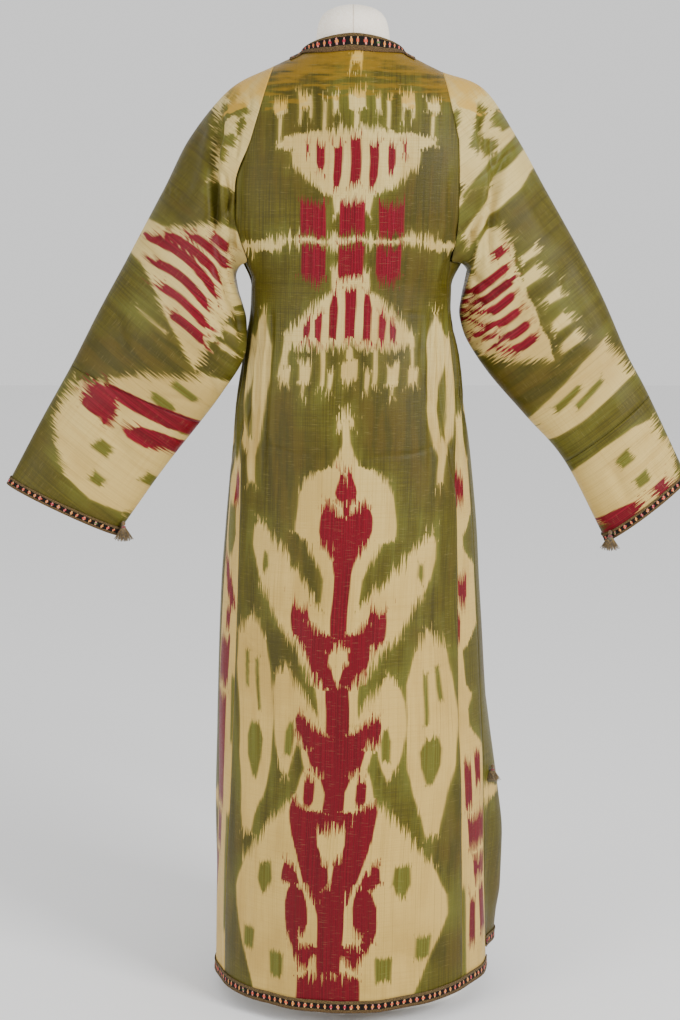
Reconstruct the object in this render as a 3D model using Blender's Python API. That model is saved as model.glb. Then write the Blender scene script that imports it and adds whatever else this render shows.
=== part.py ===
"""A woman's ikat robe of the Uzbek chapan family, worn open, on a limbless dress form with a stand.

Metres, +Z up. The floor is z = 0 and the origin is the middle of the stand's plate. The robe's back
faces -Y and its front opening faces +Y, so +X is the wearer's right.

The body of the robe is one surface, cut into panels. A point on it has a height and a distance
around: metres along the horizontal ring at that height, from the middle of the back, positive
towards +X. Each panel is a grid of such points with a wall under it. A sleeve is a tube from the
armhole's points, through sections, to the cuff.
"""

import math
from collections import namedtuple
from functools import lru_cache

import bmesh
import bpy
from mathutils import Matrix, Vector

# Cloth sizes
WALL = 0.002
SEAM_GAP = 0.0004
HEM_TRIM = 0.017
HEM_RISE = 0.012
NECK_TRIM = 0.016
CUFF_TRIM = 0.012
TRIM_WALL = 0.0012
TRIM_GAP = 0.0004

# Heights
HEM = 0.024
FRONT_HEM = 0.064
SLIT_TOP = 0.325
UNDERARM = 1.040
BACK_YOKE = 1.200
FRONT_YOKE = 1.160
NAPE = 1.339
NECK_SIDE_HEIGHT = 1.3185
NECK_SIDE = 0.068
NECK_CORNER = 0.083
RIDGE_SEAM = 1.300
SIDE_SEAM_TURNS_FROM = 0.930
FRONT_SEAM_TURNS_FROM = 0.960

# Shares of the way across a panel: the back's neckline and its braid's corner, the front's braid,
# and how much of half the back's hem belongs to the panel between the gores
NECK_SHARE = 0.56
CORNER_SHARE = 0.66
FRONT_TRIM_SHARE = 0.10
PANEL_OF_HEM = 0.65

# Powers that shape the neckline, and the drop from the ridge beside the neck and at the shoulder
NECKLINE_POWER = 1.6
NECK_DROP_POWER = 1.3
SHOULDER_DROP_POWER = 2.3

# Dress form and stand
FORM_BOTTOM = 0.660
NECK_TOP = 1.380
POLE_RADIUS = 0.0125
PLATE_THICK = 0.012
PLATE_HALF_WIDTH = 0.165
PLATE_HALF_DEPTH = 0.110
REST_GAP = 0.0003

# The robe's outer surface: one horizontal ring for each row
Ring = namedtuple("Ring", "height centre half_width back_depth front_depth squareness")
BODY = [
    Ring(0.020, 0.001, 0.1960, 0.166, 0.158, 2.00),
    Ring(0.100, 0.001, 0.1945, 0.162, 0.154, 2.00),
    Ring(0.200, 0.001, 0.1930, 0.156, 0.149, 2.00),
    Ring(0.330, 0.002, 0.1935, 0.149, 0.143, 2.00),
    Ring(0.490, -0.001, 0.1875, 0.140, 0.135, 2.00),
    Ring(0.600, -0.002, 0.1810, 0.134, 0.130, 2.02),
    Ring(0.680, -0.001, 0.1750, 0.129, 0.126, 2.05),
    Ring(0.770, -0.001, 0.1660, 0.123, 0.121, 2.08),
    Ring(0.850, -0.003, 0.1570, 0.117, 0.117, 2.10),
    Ring(0.910, -0.002, 0.1480, 0.111, 0.113, 2.10),
    Ring(0.965, -0.002, 0.1375, 0.104, 0.110, 2.10),
    Ring(1.005, -0.001, 0.1370, 0.103, 0.112, 2.10),
    Ring(1.040, 0.000, 0.1510, 0.107, 0.115, 2.15),
    Ring(1.075, 0.000, 0.1730, 0.110, 0.116, 2.25),
    Ring(1.110, 0.000, 0.1860, 0.112, 0.115, 2.35),
    Ring(1.160, 0.000, 0.1920, 0.110, 0.109, 2.40),
    Ring(1.200, 0.000, 0.1900, 0.104, 0.100, 2.35),
    Ring(1.235, 0.000, 0.1840, 0.094, 0.087, 2.25),
    Ring(1.260, -0.001, 0.1740, 0.084, 0.075, 2.15),
    Ring(1.285, -0.001, 0.1350, 0.072, 0.063, 2.05),
    Ring(1.305, 0.000, 0.0940, 0.061, 0.055, 2.00),
    Ring(NECK_SIDE_HEIGHT, 0.001, 0.0680, 0.0560, 0.0520, 2.00),
    Ring(1.345, 0.001, 0.0580, 0.0555, 0.0520, 2.00),
]

# Where the middle thread of the back lies, around from the ring's own middle
Drift = namedtuple("Drift", "height around")
BACK_THREAD = [
    Drift(0.020, -0.0350),
    Drift(0.200, -0.0320),
    Drift(0.320, -0.0265),
    Drift(0.510, -0.0180),
    Drift(0.690, -0.0090),
    Drift(0.970, -0.0020),
    Drift(1.120, 0.0010),
    Drift(1.200, 0.0040),
    Drift(1.340, 0.0080),
]

# The back panel's two sides: x of the armhole seam, then of the seam to the gore
Side = namedtuple("Side", "height left right")
BACK_SIDES = [
    Side(0.020, -0.1815, 0.1560),
    Side(0.140, -0.1780, 0.1540),
    Side(0.300, -0.1690, 0.1515),
    Side(0.440, -0.1625, 0.1460),
    Side(0.600, -0.1560, 0.1440),
    Side(0.780, -0.1505, 0.1400),
    Side(0.900, -0.1410, 0.1350),
    Side(0.965, -0.1330, 0.1300),
    Side(1.005, -0.1330, 0.1300),
    Side(UNDERARM, -0.1405, 0.1325),
    Side(1.070, -0.1500, 0.1380),
    Side(1.100, -0.1560, 0.1405),
    Side(1.140, -0.1550, 0.1410),
    Side(BACK_YOKE, -0.1340, 0.1400),
    Side(1.250, -0.1155, 0.1295),
    Side(1.310, -0.1020, 0.1180),
]

# Width of each back gore, and of each front panel below the arm
Width = namedtuple("Width", "height back_gore front_panel")
WIDTHS = [
    Width(0.020, 0.090, 0.180),
    Width(0.140, 0.067, 0.180),
    Width(0.300, 0.055, 0.180),
    Width(0.440, 0.052, 0.178),
    Width(0.600, 0.045, 0.172),
    Width(0.780, 0.036, 0.162),
    Width(0.900, 0.027, 0.156),
    Width(0.965, 0.020, 0.150),
    Width(UNDERARM, 0.020, 0.144),
]

# The front: x of each armhole seam, and each free edge's distance from the middle
Front = namedtuple("Front", "height armhole left_edge right_edge")
FRONT = [
    Front(0.020, 0.134, 0.0080, 0.0320),
    Front(0.500, 0.134, 0.0120, 0.0220),
    Front(1.000, 0.134, 0.0130, 0.0130),
    Front(UNDERARM, 0.134, 0.0130, 0.0130),
    Front(1.150, 0.133, 0.0140, 0.0140),
    Front(1.190, 0.129, 0.0180, 0.0180),
    Front(1.230, 0.121, 0.0300, 0.0300),
    Front(1.270, 0.113, 0.0470, 0.0470),
    Front(NECK_SIDE_HEIGHT, 0.110, NECK_SIDE, NECK_SIDE),
]

# Gathers below each armpit: pleats that start at the waist and run out down the skirt.
# Shares are of the way from the middle thread to the back panel's side.
Gather = namedtuple("Gather", "top full fade bottom first_share pitch_share depth")
GATHERS = Gather(0.985, 0.945, 0.860, 0.720, 0.66, 0.113, 0.0024)
GATHERS_END = 1.32
GATHERS_RUN_OUT = 0.12

# The front gore stands away from the back gore at the open slit
Flare = namedtuple("Flare", "height left right")
FLARES = [
    Flare(0.060, 0.0060, 0.0120),
    Flare(0.107, 0.0060, 0.0166),
    Flare(0.150, 0.0060, 0.0240),
    Flare(0.225, 0.0050, 0.0265),
    Flare(0.300, 0.0030, 0.0165),
    Flare(0.345, 0.0010, 0.0090),
    Flare(0.380, 0.0000, 0.0045),
    Flare(0.430, 0.0000, 0.0000),
]
FLARE_SPREAD = 0.110

# Sleeve sections: the outer and inner edge seen from behind, half the depth, and the inner edge's y
Section = namedtuple("Section", "outer_x outer_z inner_x inner_z half_depth inner_y")
LEFT_SLEEVE = [
    Section(-0.1640, 1.2700, -0.1590, 1.0190, 0.077, 0.000),
    Section(-0.2185, 1.2070, -0.1545, 0.9965, 0.065, -0.014),
    Section(-0.2560, 1.1365, -0.1430, 0.9610, 0.056, -0.032),
    Section(-0.3080, 1.0420, -0.1450, 0.9140, 0.049, -0.046),
    Section(-0.3470, 0.9730, -0.1780, 0.8615, 0.045, -0.034),
    Section(-0.3865, 0.8980, -0.2095, 0.8195, 0.041, -0.016),
    Section(-0.4298, 0.8227, -0.2610, 0.7545, 0.035, -0.004),
    Section(-0.4795, 0.7317, -0.3290, 0.6600, 0.026, 0.000),
]
RIGHT_SLEEVE = [
    Section(0.1765, 1.2700, 0.1590, 1.0205, 0.077, 0.000),
    Section(0.2220, 1.2070, 0.1515, 0.9985, 0.064, 0.000),
    Section(0.2600, 1.1415, 0.1470, 0.9670, 0.056, 0.000),
    Section(0.3105, 1.0540, 0.1555, 0.9365, 0.050, 0.000),
    Section(0.3455, 0.9868, 0.1885, 0.8865, 0.046, 0.000),
    Section(0.3790, 0.9130, 0.2410, 0.8268, 0.043, 0.000),
    Section(0.4100, 0.8565, 0.2960, 0.7640, 0.040, 0.000),
    Section(0.4670, 0.7397, 0.3560, 0.6510, 0.034, 0.000),
]
LEFT_JOIN = 6
RIGHT_JOIN = 7

# The deepest folds of a sleeve: troughs where it bends below the shoulder and hangs at the elbow
Trough = namedtuple("Trough", "start_along start_turn end_along end_turn width depth")
SLEEVE_TROUGHS = [
    Trough(1.10, 0.11, 2.10, 0.30, 0.022, 0.008),
    Trough(2.40, 0.36, 3.60, 0.44, 0.026, 0.006),
    Trough(2.40, 0.64, 3.60, 0.56, 0.026, 0.006),
    Trough(1.10, 0.89, 2.10, 0.70, 0.022, 0.007),
]
SLEEVE_GIRTH = 0.5
TROUGH_RUN_OUT = 0.35
TROUGH_END_SHARE = 0.35
SMOOTH_START = 0.7

# The dress form below its shoulders, which follow the robe's own inside
FORM = [
    Ring(FORM_BOTTOM, 0.0, 0.1360, 0.0950, 0.0950, 2.1),
    Ring(0.720, 0.0, 0.1420, 0.1000, 0.0980, 2.1),
    Ring(0.800, 0.0, 0.1360, 0.0980, 0.0960, 2.1),
    Ring(0.900, 0.0, 0.1140, 0.0880, 0.0880, 2.1),
    Ring(0.970, 0.0, 0.1020, 0.0840, 0.0860, 2.1),
    Ring(1.040, 0.0, 0.1120, 0.0880, 0.0960, 2.1),
    Ring(1.110, 0.0, 0.1300, 0.0960, 0.1020, 2.2),
    Ring(1.170, 0.0, 0.1440, 0.0980, 0.0960, 2.2),
    Ring(1.215, 0.0, 0.1520, 0.0900, 0.0840, 2.2),
]
Shoulder = namedtuple("Shoulder", "height inset")
FORM_SHOULDERS = [
    Shoulder(1.240, 0.0170),
    Shoulder(1.256, 0.0130),
    Shoulder(1.270, 0.0095),
    Shoulder(1.284, 0.0052),
    Shoulder(1.297, 0.0046),
    Shoulder(1.309, 0.0066),
]
FORM_SPOKES = 24
NECK = [
    Ring(1.3130, 0.001, 0.0570, 0.0490, 0.0460, 2.0),
    Ring(1.3230, 0.001, 0.0510, 0.0480, 0.0450, 2.0),
    Ring(1.3400, 0.001, 0.0495, 0.0470, 0.0450, 2.0),
    Ring(1.3570, 0.001, 0.0470, 0.0450, 0.0430, 2.0),
    Ring(1.3690, 0.001, 0.0400, 0.0380, 0.0370, 2.0),
    Ring(1.3765, 0.001, 0.0270, 0.0250, 0.0250, 2.0),
    Ring(NECK_TOP, 0.001, 0.0090, 0.0080, 0.0080, 2.0),
]

RING_STEPS = 240
PROBE = 0.0004
SEARCH_STEPS = 40
SAME_PLACE = 1e-6
SHARP_EDGE = math.radians(50)

# Rows of the grids, from the top down
YOKE_STEPS = [0.0, 0.25, 0.45, 0.62, 0.80, 1.0]
BACK_ROWS = [BACK_YOKE, 1.160, 1.120, 1.080, UNDERARM]
FRONT_ROWS = [FRONT_YOKE, 1.120, 1.080, UNDERARM]
SKIRT_ROWS = [1.005, 0.975, 0.945, 0.905, 0.860, 0.800, 0.720, 0.620, 0.520, 0.420, SLIT_TOP]
SLIT_ROWS = [0.250, 0.170, 0.100]

# Columns of the grids
BACK_MIDDLE_SHARES = [0.0, 0.16, 0.32, 0.45, NECK_SHARE]
BACK_PLEAT_COLUMNS = 6
FRONT_SHARES = [0.0, FRONT_TRIM_SHARE, 0.27, 0.44, 0.60, 0.74, 0.87, 1.0]
GORE_SHARES = [0.0, 0.5, 1.0]
FRONT_GORE_SHARES = [0.0, 0.33, 0.67, 1.0]

# The tassels: place of each cuff's, then how far past the slit and how high the other two hang
Tassel = namedtuple("Tassel", "name x y z radius length")
CUFF_TASSELS = [
    Tassel("cuff_tassel_left", -0.3175, -0.0147, 0.678, 0.0055, 0.019),
    Tassel("cuff_tassel_right", 0.3580, -0.0260, 0.667, 0.0055, 0.019),
]
SLIT_TASSEL = Tassel("", 0.0, 0.0, 0.0, 0.0050, 0.016)
SLIT_TASSEL_PAST_SLIT = {"left": 0.075, "right": 0.020}
SLIT_TASSEL_HEIGHT = SLIT_TOP + 0.010
SLIT_TASSEL_CLEARANCE = 0.0006
TASSEL_INSET_SHARE = 0.05
TASSEL_UNEVEN_SHARE = 0.16
TASSEL_UNEVEN_STEP = 2.4
TASSEL_STEPS = [(0.35, 0.9), (0.10, 0.55)]

# The stand's plate
PLATE_ROUNDING = 0.003
PLATE_SPOKES = 40
POLE_SPOKES = 20

SIDES = {"left": -1, "right": 1}


def clamp(value, low, high):
    return max(low, min(high, value))


def mix(a, b, share):
    return a + (b - a) * share


def ease(value):
    """0 to 1 with a soft start and end."""
    t = clamp(value, 0.0, 1.0)
    return t * t * (3 - 2 * t)


def slopes(at, values):
    """Slopes for a curve through the points that never overshoots them."""
    steps = [(values[i + 1] - values[i]) / (at[i + 1] - at[i]) for i in range(len(at) - 1)]
    inner = [0.0 if a * b <= 0 else 2 * a * b / (a + b) for a, b in zip(steps, steps[1:])]
    return [steps[0], *inner, steps[-1]]


def hermite(at, values, bends, where):
    """The curve's value at where, held at its ends."""
    where = clamp(where, at[0], at[-1])
    i = next((k for k in range(len(at) - 2) if where <= at[k + 1]), len(at) - 2)
    step = at[i + 1] - at[i]
    t = (where - at[i]) / step
    start = (2 * t**3 - 3 * t**2 + 1) * values[i] + (t**3 - 2 * t**2 + t) * step * bends[i]
    end = (3 * t**2 - 2 * t**3) * values[i + 1] + (t**3 - t**2) * step * bends[i + 1]
    return start + end


@lru_cache(maxsize=None)
def column_curve(table_name, column):
    table = sorted(TABLES[table_name], key=lambda row: row.height)
    at = [row.height for row in table]
    values = [getattr(row, column) for row in table]
    return at, values, slopes(at, values)


def read(table_name, column, height):
    """A table's column at any height."""
    return hermite(*column_curve(table_name, column), height)


TABLES = {
    "body": BODY,
    "thread": BACK_THREAD,
    "back_sides": BACK_SIDES,
    "widths": WIDTHS,
    "front": FRONT,
    "flares": FLARES,
}


@lru_cache(maxsize=None)
def half_ring(height):
    """Half of the body's ring at a height, back middle to front middle: widths, depths, distances."""
    centre, half_width, back, front, squareness = (
        read("body", column, height) for column in Ring._fields[1:]
    )
    power = 2 / squareness
    widths, depths, distances = [], [], []
    for step in range(RING_STEPS + 1):
        turn = math.pi * step / RING_STEPS
        across = half_width * abs(math.sin(turn)) ** power
        reach = -back if turn < math.pi / 2 else front
        deep = reach * abs(math.cos(turn)) ** power
        far = distances[-1] + math.hypot(across - widths[-1], deep - depths[-1]) if distances else 0.0
        widths.append(across)
        depths.append(deep)
        distances.append(far)
    return centre, widths, depths, distances


def between(keys, values, where):
    """values at where, by straight lines between rising keys."""
    if where <= keys[0]:
        return values[0]
    low, high = 0, len(keys) - 1
    if where >= keys[high]:
        return values[high]
    while high - low > 1:
        middle = (low + high) // 2
        low, high = (middle, high) if keys[middle] <= where else (low, middle)
    return mix(values[low], values[high], (where - keys[low]) / (keys[high] - keys[low]))


def to_ridge(height):
    """Distance around from the back's middle to the side of the ring."""
    return half_ring(height)[3][RING_STEPS // 2]


def around_at(height, x, front=False):
    """Distance around of the ring's point at x, on its back or its front."""
    centre, widths, _, distances = half_ring(height)
    half = RING_STEPS // 2
    across = abs(x - centre)
    if front:
        far = between(widths[half:][::-1], distances[half:][::-1], across)
    else:
        far = between(widths[: half + 1], distances[: half + 1], across)
    return math.copysign(far, x - centre)


def bare(around, height):
    """The body's smooth surface, before gathers."""
    centre, widths, depths, distances = half_ring(height)
    far = abs(around)
    x = centre + math.copysign(between(distances, widths, far), around)
    return Vector((x, between(distances, depths, far), height))


@lru_cache(maxsize=None)
def outward(around, height):
    across = bare(around + PROBE, height) - bare(around - PROBE, height)
    upward = bare(around, height + PROBE) - bare(around, height - PROBE)
    return across.cross(upward).normalized()


def thread(height):
    return read("thread", "around", height)


def gathered(around, height):
    """How far the gathers lift the cloth: pleats at each side that fade down the skirt."""
    strength = ease((GATHERS.top - height) / (GATHERS.top - GATHERS.full))
    strength *= ease((height - GATHERS.bottom) / (GATHERS.fade - GATHERS.bottom))
    if strength == 0.0:
        return 0.0
    from_thread = around - thread(height)
    side = math.copysign(1, from_thread)
    share = from_thread / (back_seam(side, height) - thread(height))
    pleat = (share - GATHERS.first_share) / GATHERS.pitch_share
    inside = ease(pleat + 0.5)
    outside = ease((GATHERS_END - share) / GATHERS_RUN_OUT)
    return GATHERS.depth * strength * inside * outside * math.cos(2 * math.pi * pleat)


def skin(around, height, lift=0.0):
    """The robe's outer surface, moved out by lift."""
    return bare(around, height) + outward(around, height) * (gathered(around, height) + lift)


def word(side):
    return "right" if side > 0 else "left"


@lru_cache(maxsize=None)
def back_seam(side, height):
    """Around of the back panel's side."""
    return around_at(height, read("back_sides", word(side), height))


@lru_cache(maxsize=None)
def slit_line(side, height):
    """Around of the side seam, which ends at the slit: beside the back gore, and under the arm above."""
    beside = back_seam(side, height) + side * read("widths", "back_gore", height)
    turned = ease((height - SIDE_SEAM_TURNS_FROM) / (UNDERARM - SIDE_SEAM_TURNS_FROM))
    return mix(beside, side * to_ridge(height), turned)


@lru_cache(maxsize=None)
def front_edge(side, height):
    """Around of the front panel's free edge."""
    from_middle = read("front", f"{word(side)}_edge", height)
    return around_at(height, read("body", "centre", height) + side * from_middle, front=True)


@lru_cache(maxsize=None)
def front_seam(side, height):
    """Around of the front panel's side: the armhole seam, then the gore seam."""
    reach = read("body", "centre", height) + side * read("front", "armhole", height)
    armhole = around_at(height, reach, front=True)
    if height >= UNDERARM:
        return armhole
    hanging = front_edge(side, height) - side * read("widths", "front_panel", height)
    turned = ease((height - FRONT_SEAM_TURNS_FROM) / (UNDERARM - FRONT_SEAM_TURNS_FROM))
    return mix(hanging, armhole, turned)


def hem_rows(hem):
    """The last rows of a panel: its braid's upper edge, then the hem."""
    return [("hem", hem + HEM_TRIM), ("hem", hem)]


def levels(rows):
    return [("level", height) for height in [*rows, *SKIRT_ROWS, *SLIT_ROWS]]


def fall(rows, hem):
    """A panel's rows: shares of the yoke, then heights down to the hem's."""
    yoke = [("yoke", share) for share in YOKE_STEPS[:-1]]
    return [*yoke, *levels(rows), *hem_rows(hem)]


def hem_rise(side, way):
    """The back's hem climbs a little towards the right slit; way is 0 at the middle and 1 at the slit."""
    return HEM_RISE * ease(way) if side > 0 else 0.0


BACK_FALL = fall(BACK_ROWS, HEM)
FRONT_FALL = fall(FRONT_ROWS, FRONT_HEM)
GORE_ROWS = levels([UNDERARM])
BACK_ARMHOLE_ROWS = len(YOKE_STEPS) - 1 + len(BACK_ROWS)
FRONT_ARMHOLE_ROWS = len(YOKE_STEPS) - 1 + len(FRONT_ROWS)


def ridge_height(x):
    """Height of the shoulder ridge at x."""
    low, high = BACK_YOKE, NECK_SIDE_HEIGHT
    side = math.copysign(1, x)
    for _ in range(SEARCH_STEPS):
        middle = (low + high) / 2
        reach = side * read("body", "centre", middle) + read("body", "half_width", middle)
        low, high = (middle, high) if reach > abs(x) else (low, middle)
    return (low + high) / 2


def drop_from_top(top, floor, share, ridge_share):
    """Height on the way from the top edge to the yoke line, slower where the ridge turns over."""
    power = mix(NECK_DROP_POWER, SHOULDER_DROP_POWER, clamp(ridge_share, 0.0, 1.0) ** 3)
    return top - (top - floor) * share**power


def back_top(share):
    """x and height of the back panel's top edge: the neckline, then the shoulder ridge."""
    side = math.copysign(1, share)
    far = abs(share)
    if far <= NECK_SHARE:
        part = far / NECK_SHARE
        height = NAPE - (NAPE - NECK_SIDE_HEIGHT) * part**NECKLINE_POWER
        around = side * part * to_ridge(height)
        return bare(around, height).x, height
    if far <= CORNER_SHARE:
        across = mix(NECK_SIDE, NECK_CORNER, (far - NECK_SHARE) / (CORNER_SHARE - NECK_SHARE))
        x = side * across
    else:
        end = read("back_sides", word(side), RIDGE_SEAM)
        x = mix(side * NECK_CORNER, end, (far - CORNER_SHARE) / (1 - CORNER_SHARE))
    return x, ridge_height(x)


def back_place(share, row):
    """(around, height) of the back panel's point."""
    kind, value = row
    if kind != "yoke":
        side = math.copysign(1, share)
        if kind == "hem":
            value += hem_rise(side, abs(share) * PANEL_OF_HEM)
        seam = back_seam(side, value) - side * SEAM_GAP / 2
        return mix(thread(value), seam, abs(share)), value
    top_x, top = back_top(share)
    height = drop_from_top(top, BACK_YOKE, value, abs(share) / NECK_SHARE)
    low_x = bare(back_place(share, ("level", BACK_YOKE))[0], BACK_YOKE).x
    x = mix(top_x, low_x, (top - height) / (top - BACK_YOKE))
    around = around_at(height, x)
    limit = to_ridge(height) - SEAM_GAP / 2
    return clamp(around, -limit, limit), height


def past_trim(share, edge, trim, seam):
    """A value across a front panel: straight from edge to trim over its braid, then on to seam."""
    if share <= FRONT_TRIM_SHARE:
        return mix(edge, trim, share / FRONT_TRIM_SHARE)
    return mix(trim, seam, (share - FRONT_TRIM_SHARE) / (1 - FRONT_TRIM_SHARE))


def front_place(side, share, row):
    """(around, height) of a front panel's point; share is 0 at the free edge."""
    kind, value = row
    if kind != "yoke":
        edge, seam = front_edge(side, value), front_seam(side, value) + side * SEAM_GAP / 2
        return edge - side * past_trim(share, 0.0, NECK_TRIM, abs(seam - edge)), value
    end = side * read("back_sides", word(side), RIDGE_SEAM)
    across = past_trim(share, NECK_SIDE, NECK_CORNER, end)
    top = ridge_height(side * across)
    height = drop_from_top(top, FRONT_YOKE, value, 1.0)
    down = (top - height) / (top - FRONT_YOKE)
    edge_drop = mix(NECK_SIDE_HEIGHT, FRONT_YOKE, down)
    edge_x = read("front", f"{word(side)}_edge", edge_drop)
    low = bare(front_place(side, share, ("level", FRONT_YOKE))[0], FRONT_YOKE).x
    low_edge = bare(front_place(side, 0.0, ("level", FRONT_YOKE))[0], FRONT_YOKE).x
    from_edge = mix(across - NECK_SIDE, abs(low - low_edge), down)
    x = side * (edge_x + from_edge)
    around = around_at(height, x, front=True)
    limit = to_ridge(height) + SEAM_GAP / 2
    return side * max(abs(around), limit), height


def flare_at(side, around, height):
    """The front gore's lift away from the body beside the slit."""
    lift = read("flares", word(side), height)
    past = abs(around) - abs(slit_line(side, height))
    return lift * math.exp(-((past / FLARE_SPREAD) ** 2))


def gore_place(side, share, row, front):
    """(around, height) of a gore's point; share is 0 at the seam nearer the back."""
    kind, height = row
    if kind == "hem" and not front:
        height += hem_rise(side, mix(PANEL_OF_HEM, 1.0, share))
    half_gap = side * SEAM_GAP / 2
    if front:
        start, end = slit_line(side, height) + half_gap, front_seam(side, height) - half_gap
    else:
        start, end = back_seam(side, height) + half_gap, slit_line(side, height) - half_gap
    return mix(start, end, share), height


# Making the walls


def open_grid(rows, columns):
    """A flat grid whose vertices know their own row and column."""
    shell = bmesh.new()
    bmesh.ops.create_grid(shell, x_segments=columns - 1, y_segments=rows - 1, size=0.5)
    row_of = shell.verts.layers.int.new("row")
    column_of = shell.verts.layers.int.new("column")
    for vert in shell.verts:
        vert[row_of] = round((vert.co.y + 0.5) * (rows - 1))
        vert[column_of] = round((vert.co.x + 0.5) * (columns - 1))
    return shell, row_of, column_of


def wall(name, outer, inner, material, closed=False):
    """A closed wall between two equal grids of points. A closed one joins its last column to its first."""
    rows, columns = len(outer), len(outer[0])
    shell, row_of, column_of = open_grid(rows, columns + 1 if closed else columns)
    for vert in shell.verts:
        vert[column_of] %= columns
        vert.co = outer[vert[row_of]][vert[column_of]]
    if closed:
        bmesh.ops.remove_doubles(shell, verts=shell.verts, dist=SAME_PLACE)
    grown = bmesh.ops.extrude_face_region(shell, geom=shell.faces[:], use_keep_orig=True)
    for vert in (item for item in grown["geom"] if isinstance(item, bmesh.types.BMVert)):
        vert.co = inner[vert[row_of]][vert[column_of]]
    bmesh.ops.recalc_face_normals(shell, faces=shell.faces)
    finished(name, shell, material)


def finished(name, shell, material):
    """Writes the bmesh to a new object, smooth but for its sharp rims."""
    mesh = bpy.data.meshes.new(name)
    shell.to_mesh(mesh)
    shell.free()
    mesh.materials.append(material)
    mesh.shade_smooth()
    mesh.set_sharp_from_angle(angle=SHARP_EDGE)
    made = bpy.data.objects.new(name, mesh)
    ROBE.objects.link(made)


def no_lift(around, height):
    return 0.0


def panel(name, places, material, lift=no_lift):
    """A wall from a grid of (around, height) places on the robe."""
    outer = [[skin(a, h, lift(a, h)) for a, h in row] for row in places]
    inner = [[skin(a, h, lift(a, h) - WALL) for a, h in row] for row in places]
    wall(name, outer, inner, material)


def trim_on(name, places, material, lift=no_lift):
    """A braid that lies on a panel: the panel's own places, moved out."""
    low, high = TRIM_GAP, TRIM_GAP + TRIM_WALL
    outer = [[skin(a, h, lift(a, h) + high) for a, h in row] for row in places]
    inner = [[skin(a, h, lift(a, h) + low) for a, h in row] for row in places]
    wall(name, outer, inner, material)


def material(name, colour, roughness, metallic=0.0):
    made = bpy.data.materials.new(name)
    made.use_nodes = True
    shader = made.node_tree.nodes["Principled BSDF"]
    shader.inputs["Base Color"].default_value = (*colour, 1.0)
    shader.inputs["Roughness"].default_value = roughness
    shader.inputs["Metallic"].default_value = metallic
    made.diffuse_color = (*colour, 1.0)
    return made


# Panels of the body


def back_shares():
    """Columns of the back panel: wide in the middle, one for each crest and trough at the sides."""
    step = GATHERS.pitch_share / 2
    pleats = [GATHERS.first_share + step * k for k in range(BACK_PLEAT_COLUMNS)]
    half = [*BACK_MIDDLE_SHARES, *pleats, 1.0]
    return [-share for share in half[:0:-1]] + half


BACK_SHARES = back_shares()


def back_panel(silk):
    places = [[back_place(share, row) for share in BACK_SHARES] for row in BACK_FALL]
    panel("back_panel", places, silk)


def front_panel(label, silk):
    places = [
        [front_place(SIDES[label], share, row) for share in FRONT_SHARES] for row in FRONT_FALL
    ]
    panel(f"front_panel_{label}", places, silk)


def back_gore(label, silk):
    places = [
        [gore_place(SIDES[label], share, row, front=False) for share in GORE_SHARES]
        for row in [*GORE_ROWS, *hem_rows(HEM)]
    ]
    panel(f"back_gore_{label}", places, silk)


def front_lift(side):
    return lambda around, height: flare_at(side, around, height)


def front_gore(label, silk):
    side = SIDES[label]
    places = [
        [gore_place(side, share, row, front=True) for share in FRONT_GORE_SHARES]
        for row in [*GORE_ROWS, *hem_rows(FRONT_HEM)]
    ]
    panel(f"front_gore_{label}", places, silk, front_lift(side))


# Braids


def neck_trim(braid):
    shares = [share for share in BACK_SHARES if abs(share) <= CORNER_SHARE + SAME_PLACE]
    places = [[back_place(share, row) for share in shares] for row in BACK_FALL[:2]]
    trim_on("neck_trim", places, braid)


def front_trim(label, braid):
    side = SIDES[label]
    rows = [*FRONT_FALL[:-2], ("level", FRONT_HEM + HEM_TRIM + SEAM_GAP)]
    places = [[front_place(side, share, row) for share in FRONT_SHARES[:2]] for row in rows]
    trim_on(f"front_trim_{label}", places, braid)


def hem_trim_back(braid):
    """One braid along both back gores and the back panel."""
    places = []
    for row in hem_rows(HEM):
        left = [gore_place(-1, share, row, front=False) for share in GORE_SHARES[:0:-1]]
        middle = [back_place(share, row) for share in BACK_SHARES]
        right = [gore_place(1, share, row, front=False) for share in GORE_SHARES[1:]]
        places.append([*left, *middle, *right])
    trim_on("hem_trim_back", places, braid)


def hem_trim_front(label, braid):
    """One braid along a front gore and its front panel."""
    side = SIDES[label]
    places = []
    for row in hem_rows(FRONT_HEM):
        gore = [gore_place(side, share, row, front=True) for share in FRONT_GORE_SHARES[:-1]]
        front = [front_place(side, share, row) for share in FRONT_SHARES[::-1]]
        places.append([*gore, *front])
    trim_on(f"hem_trim_front_{label}", places, braid, front_lift(side))


# Sleeves


def armhole_loop(side):
    """The armhole's points, from the shoulder ridge down the back, under the arm and up the front."""
    down = [back_place(side * 1.0, row) for row in BACK_FALL[:BACK_ARMHOLE_ROWS]]
    low = ("level", UNDERARM)
    back_low = [gore_place(side, share, low, front=False) for share in GORE_SHARES[1:-1]]
    front_low = [gore_place(side, share, low, front=True) for share in FRONT_GORE_SHARES[:-1]]
    up = [front_place(side, 1.0, row) for row in FRONT_FALL[:FRONT_ARMHOLE_ROWS]][::-1]
    return [skin(a, h) for a, h in [*down, *back_low, *front_low, *up[:-1]]]


def turns(loop, lowest):
    """Each point's share of the way around a closed loop, with the lowest point halfway."""
    steps = [(b - a).length for a, b in zip(loop, [*loop[1:], loop[0]])]
    down, up = sum(steps[:lowest]), sum(steps[lowest:])
    shares, way = [], 0.0
    for number, step in enumerate(steps):
        shares.append(way / down / 2 if number <= lowest else 0.5 + (way - down) / up / 2)
        way += step
    return shares


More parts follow.
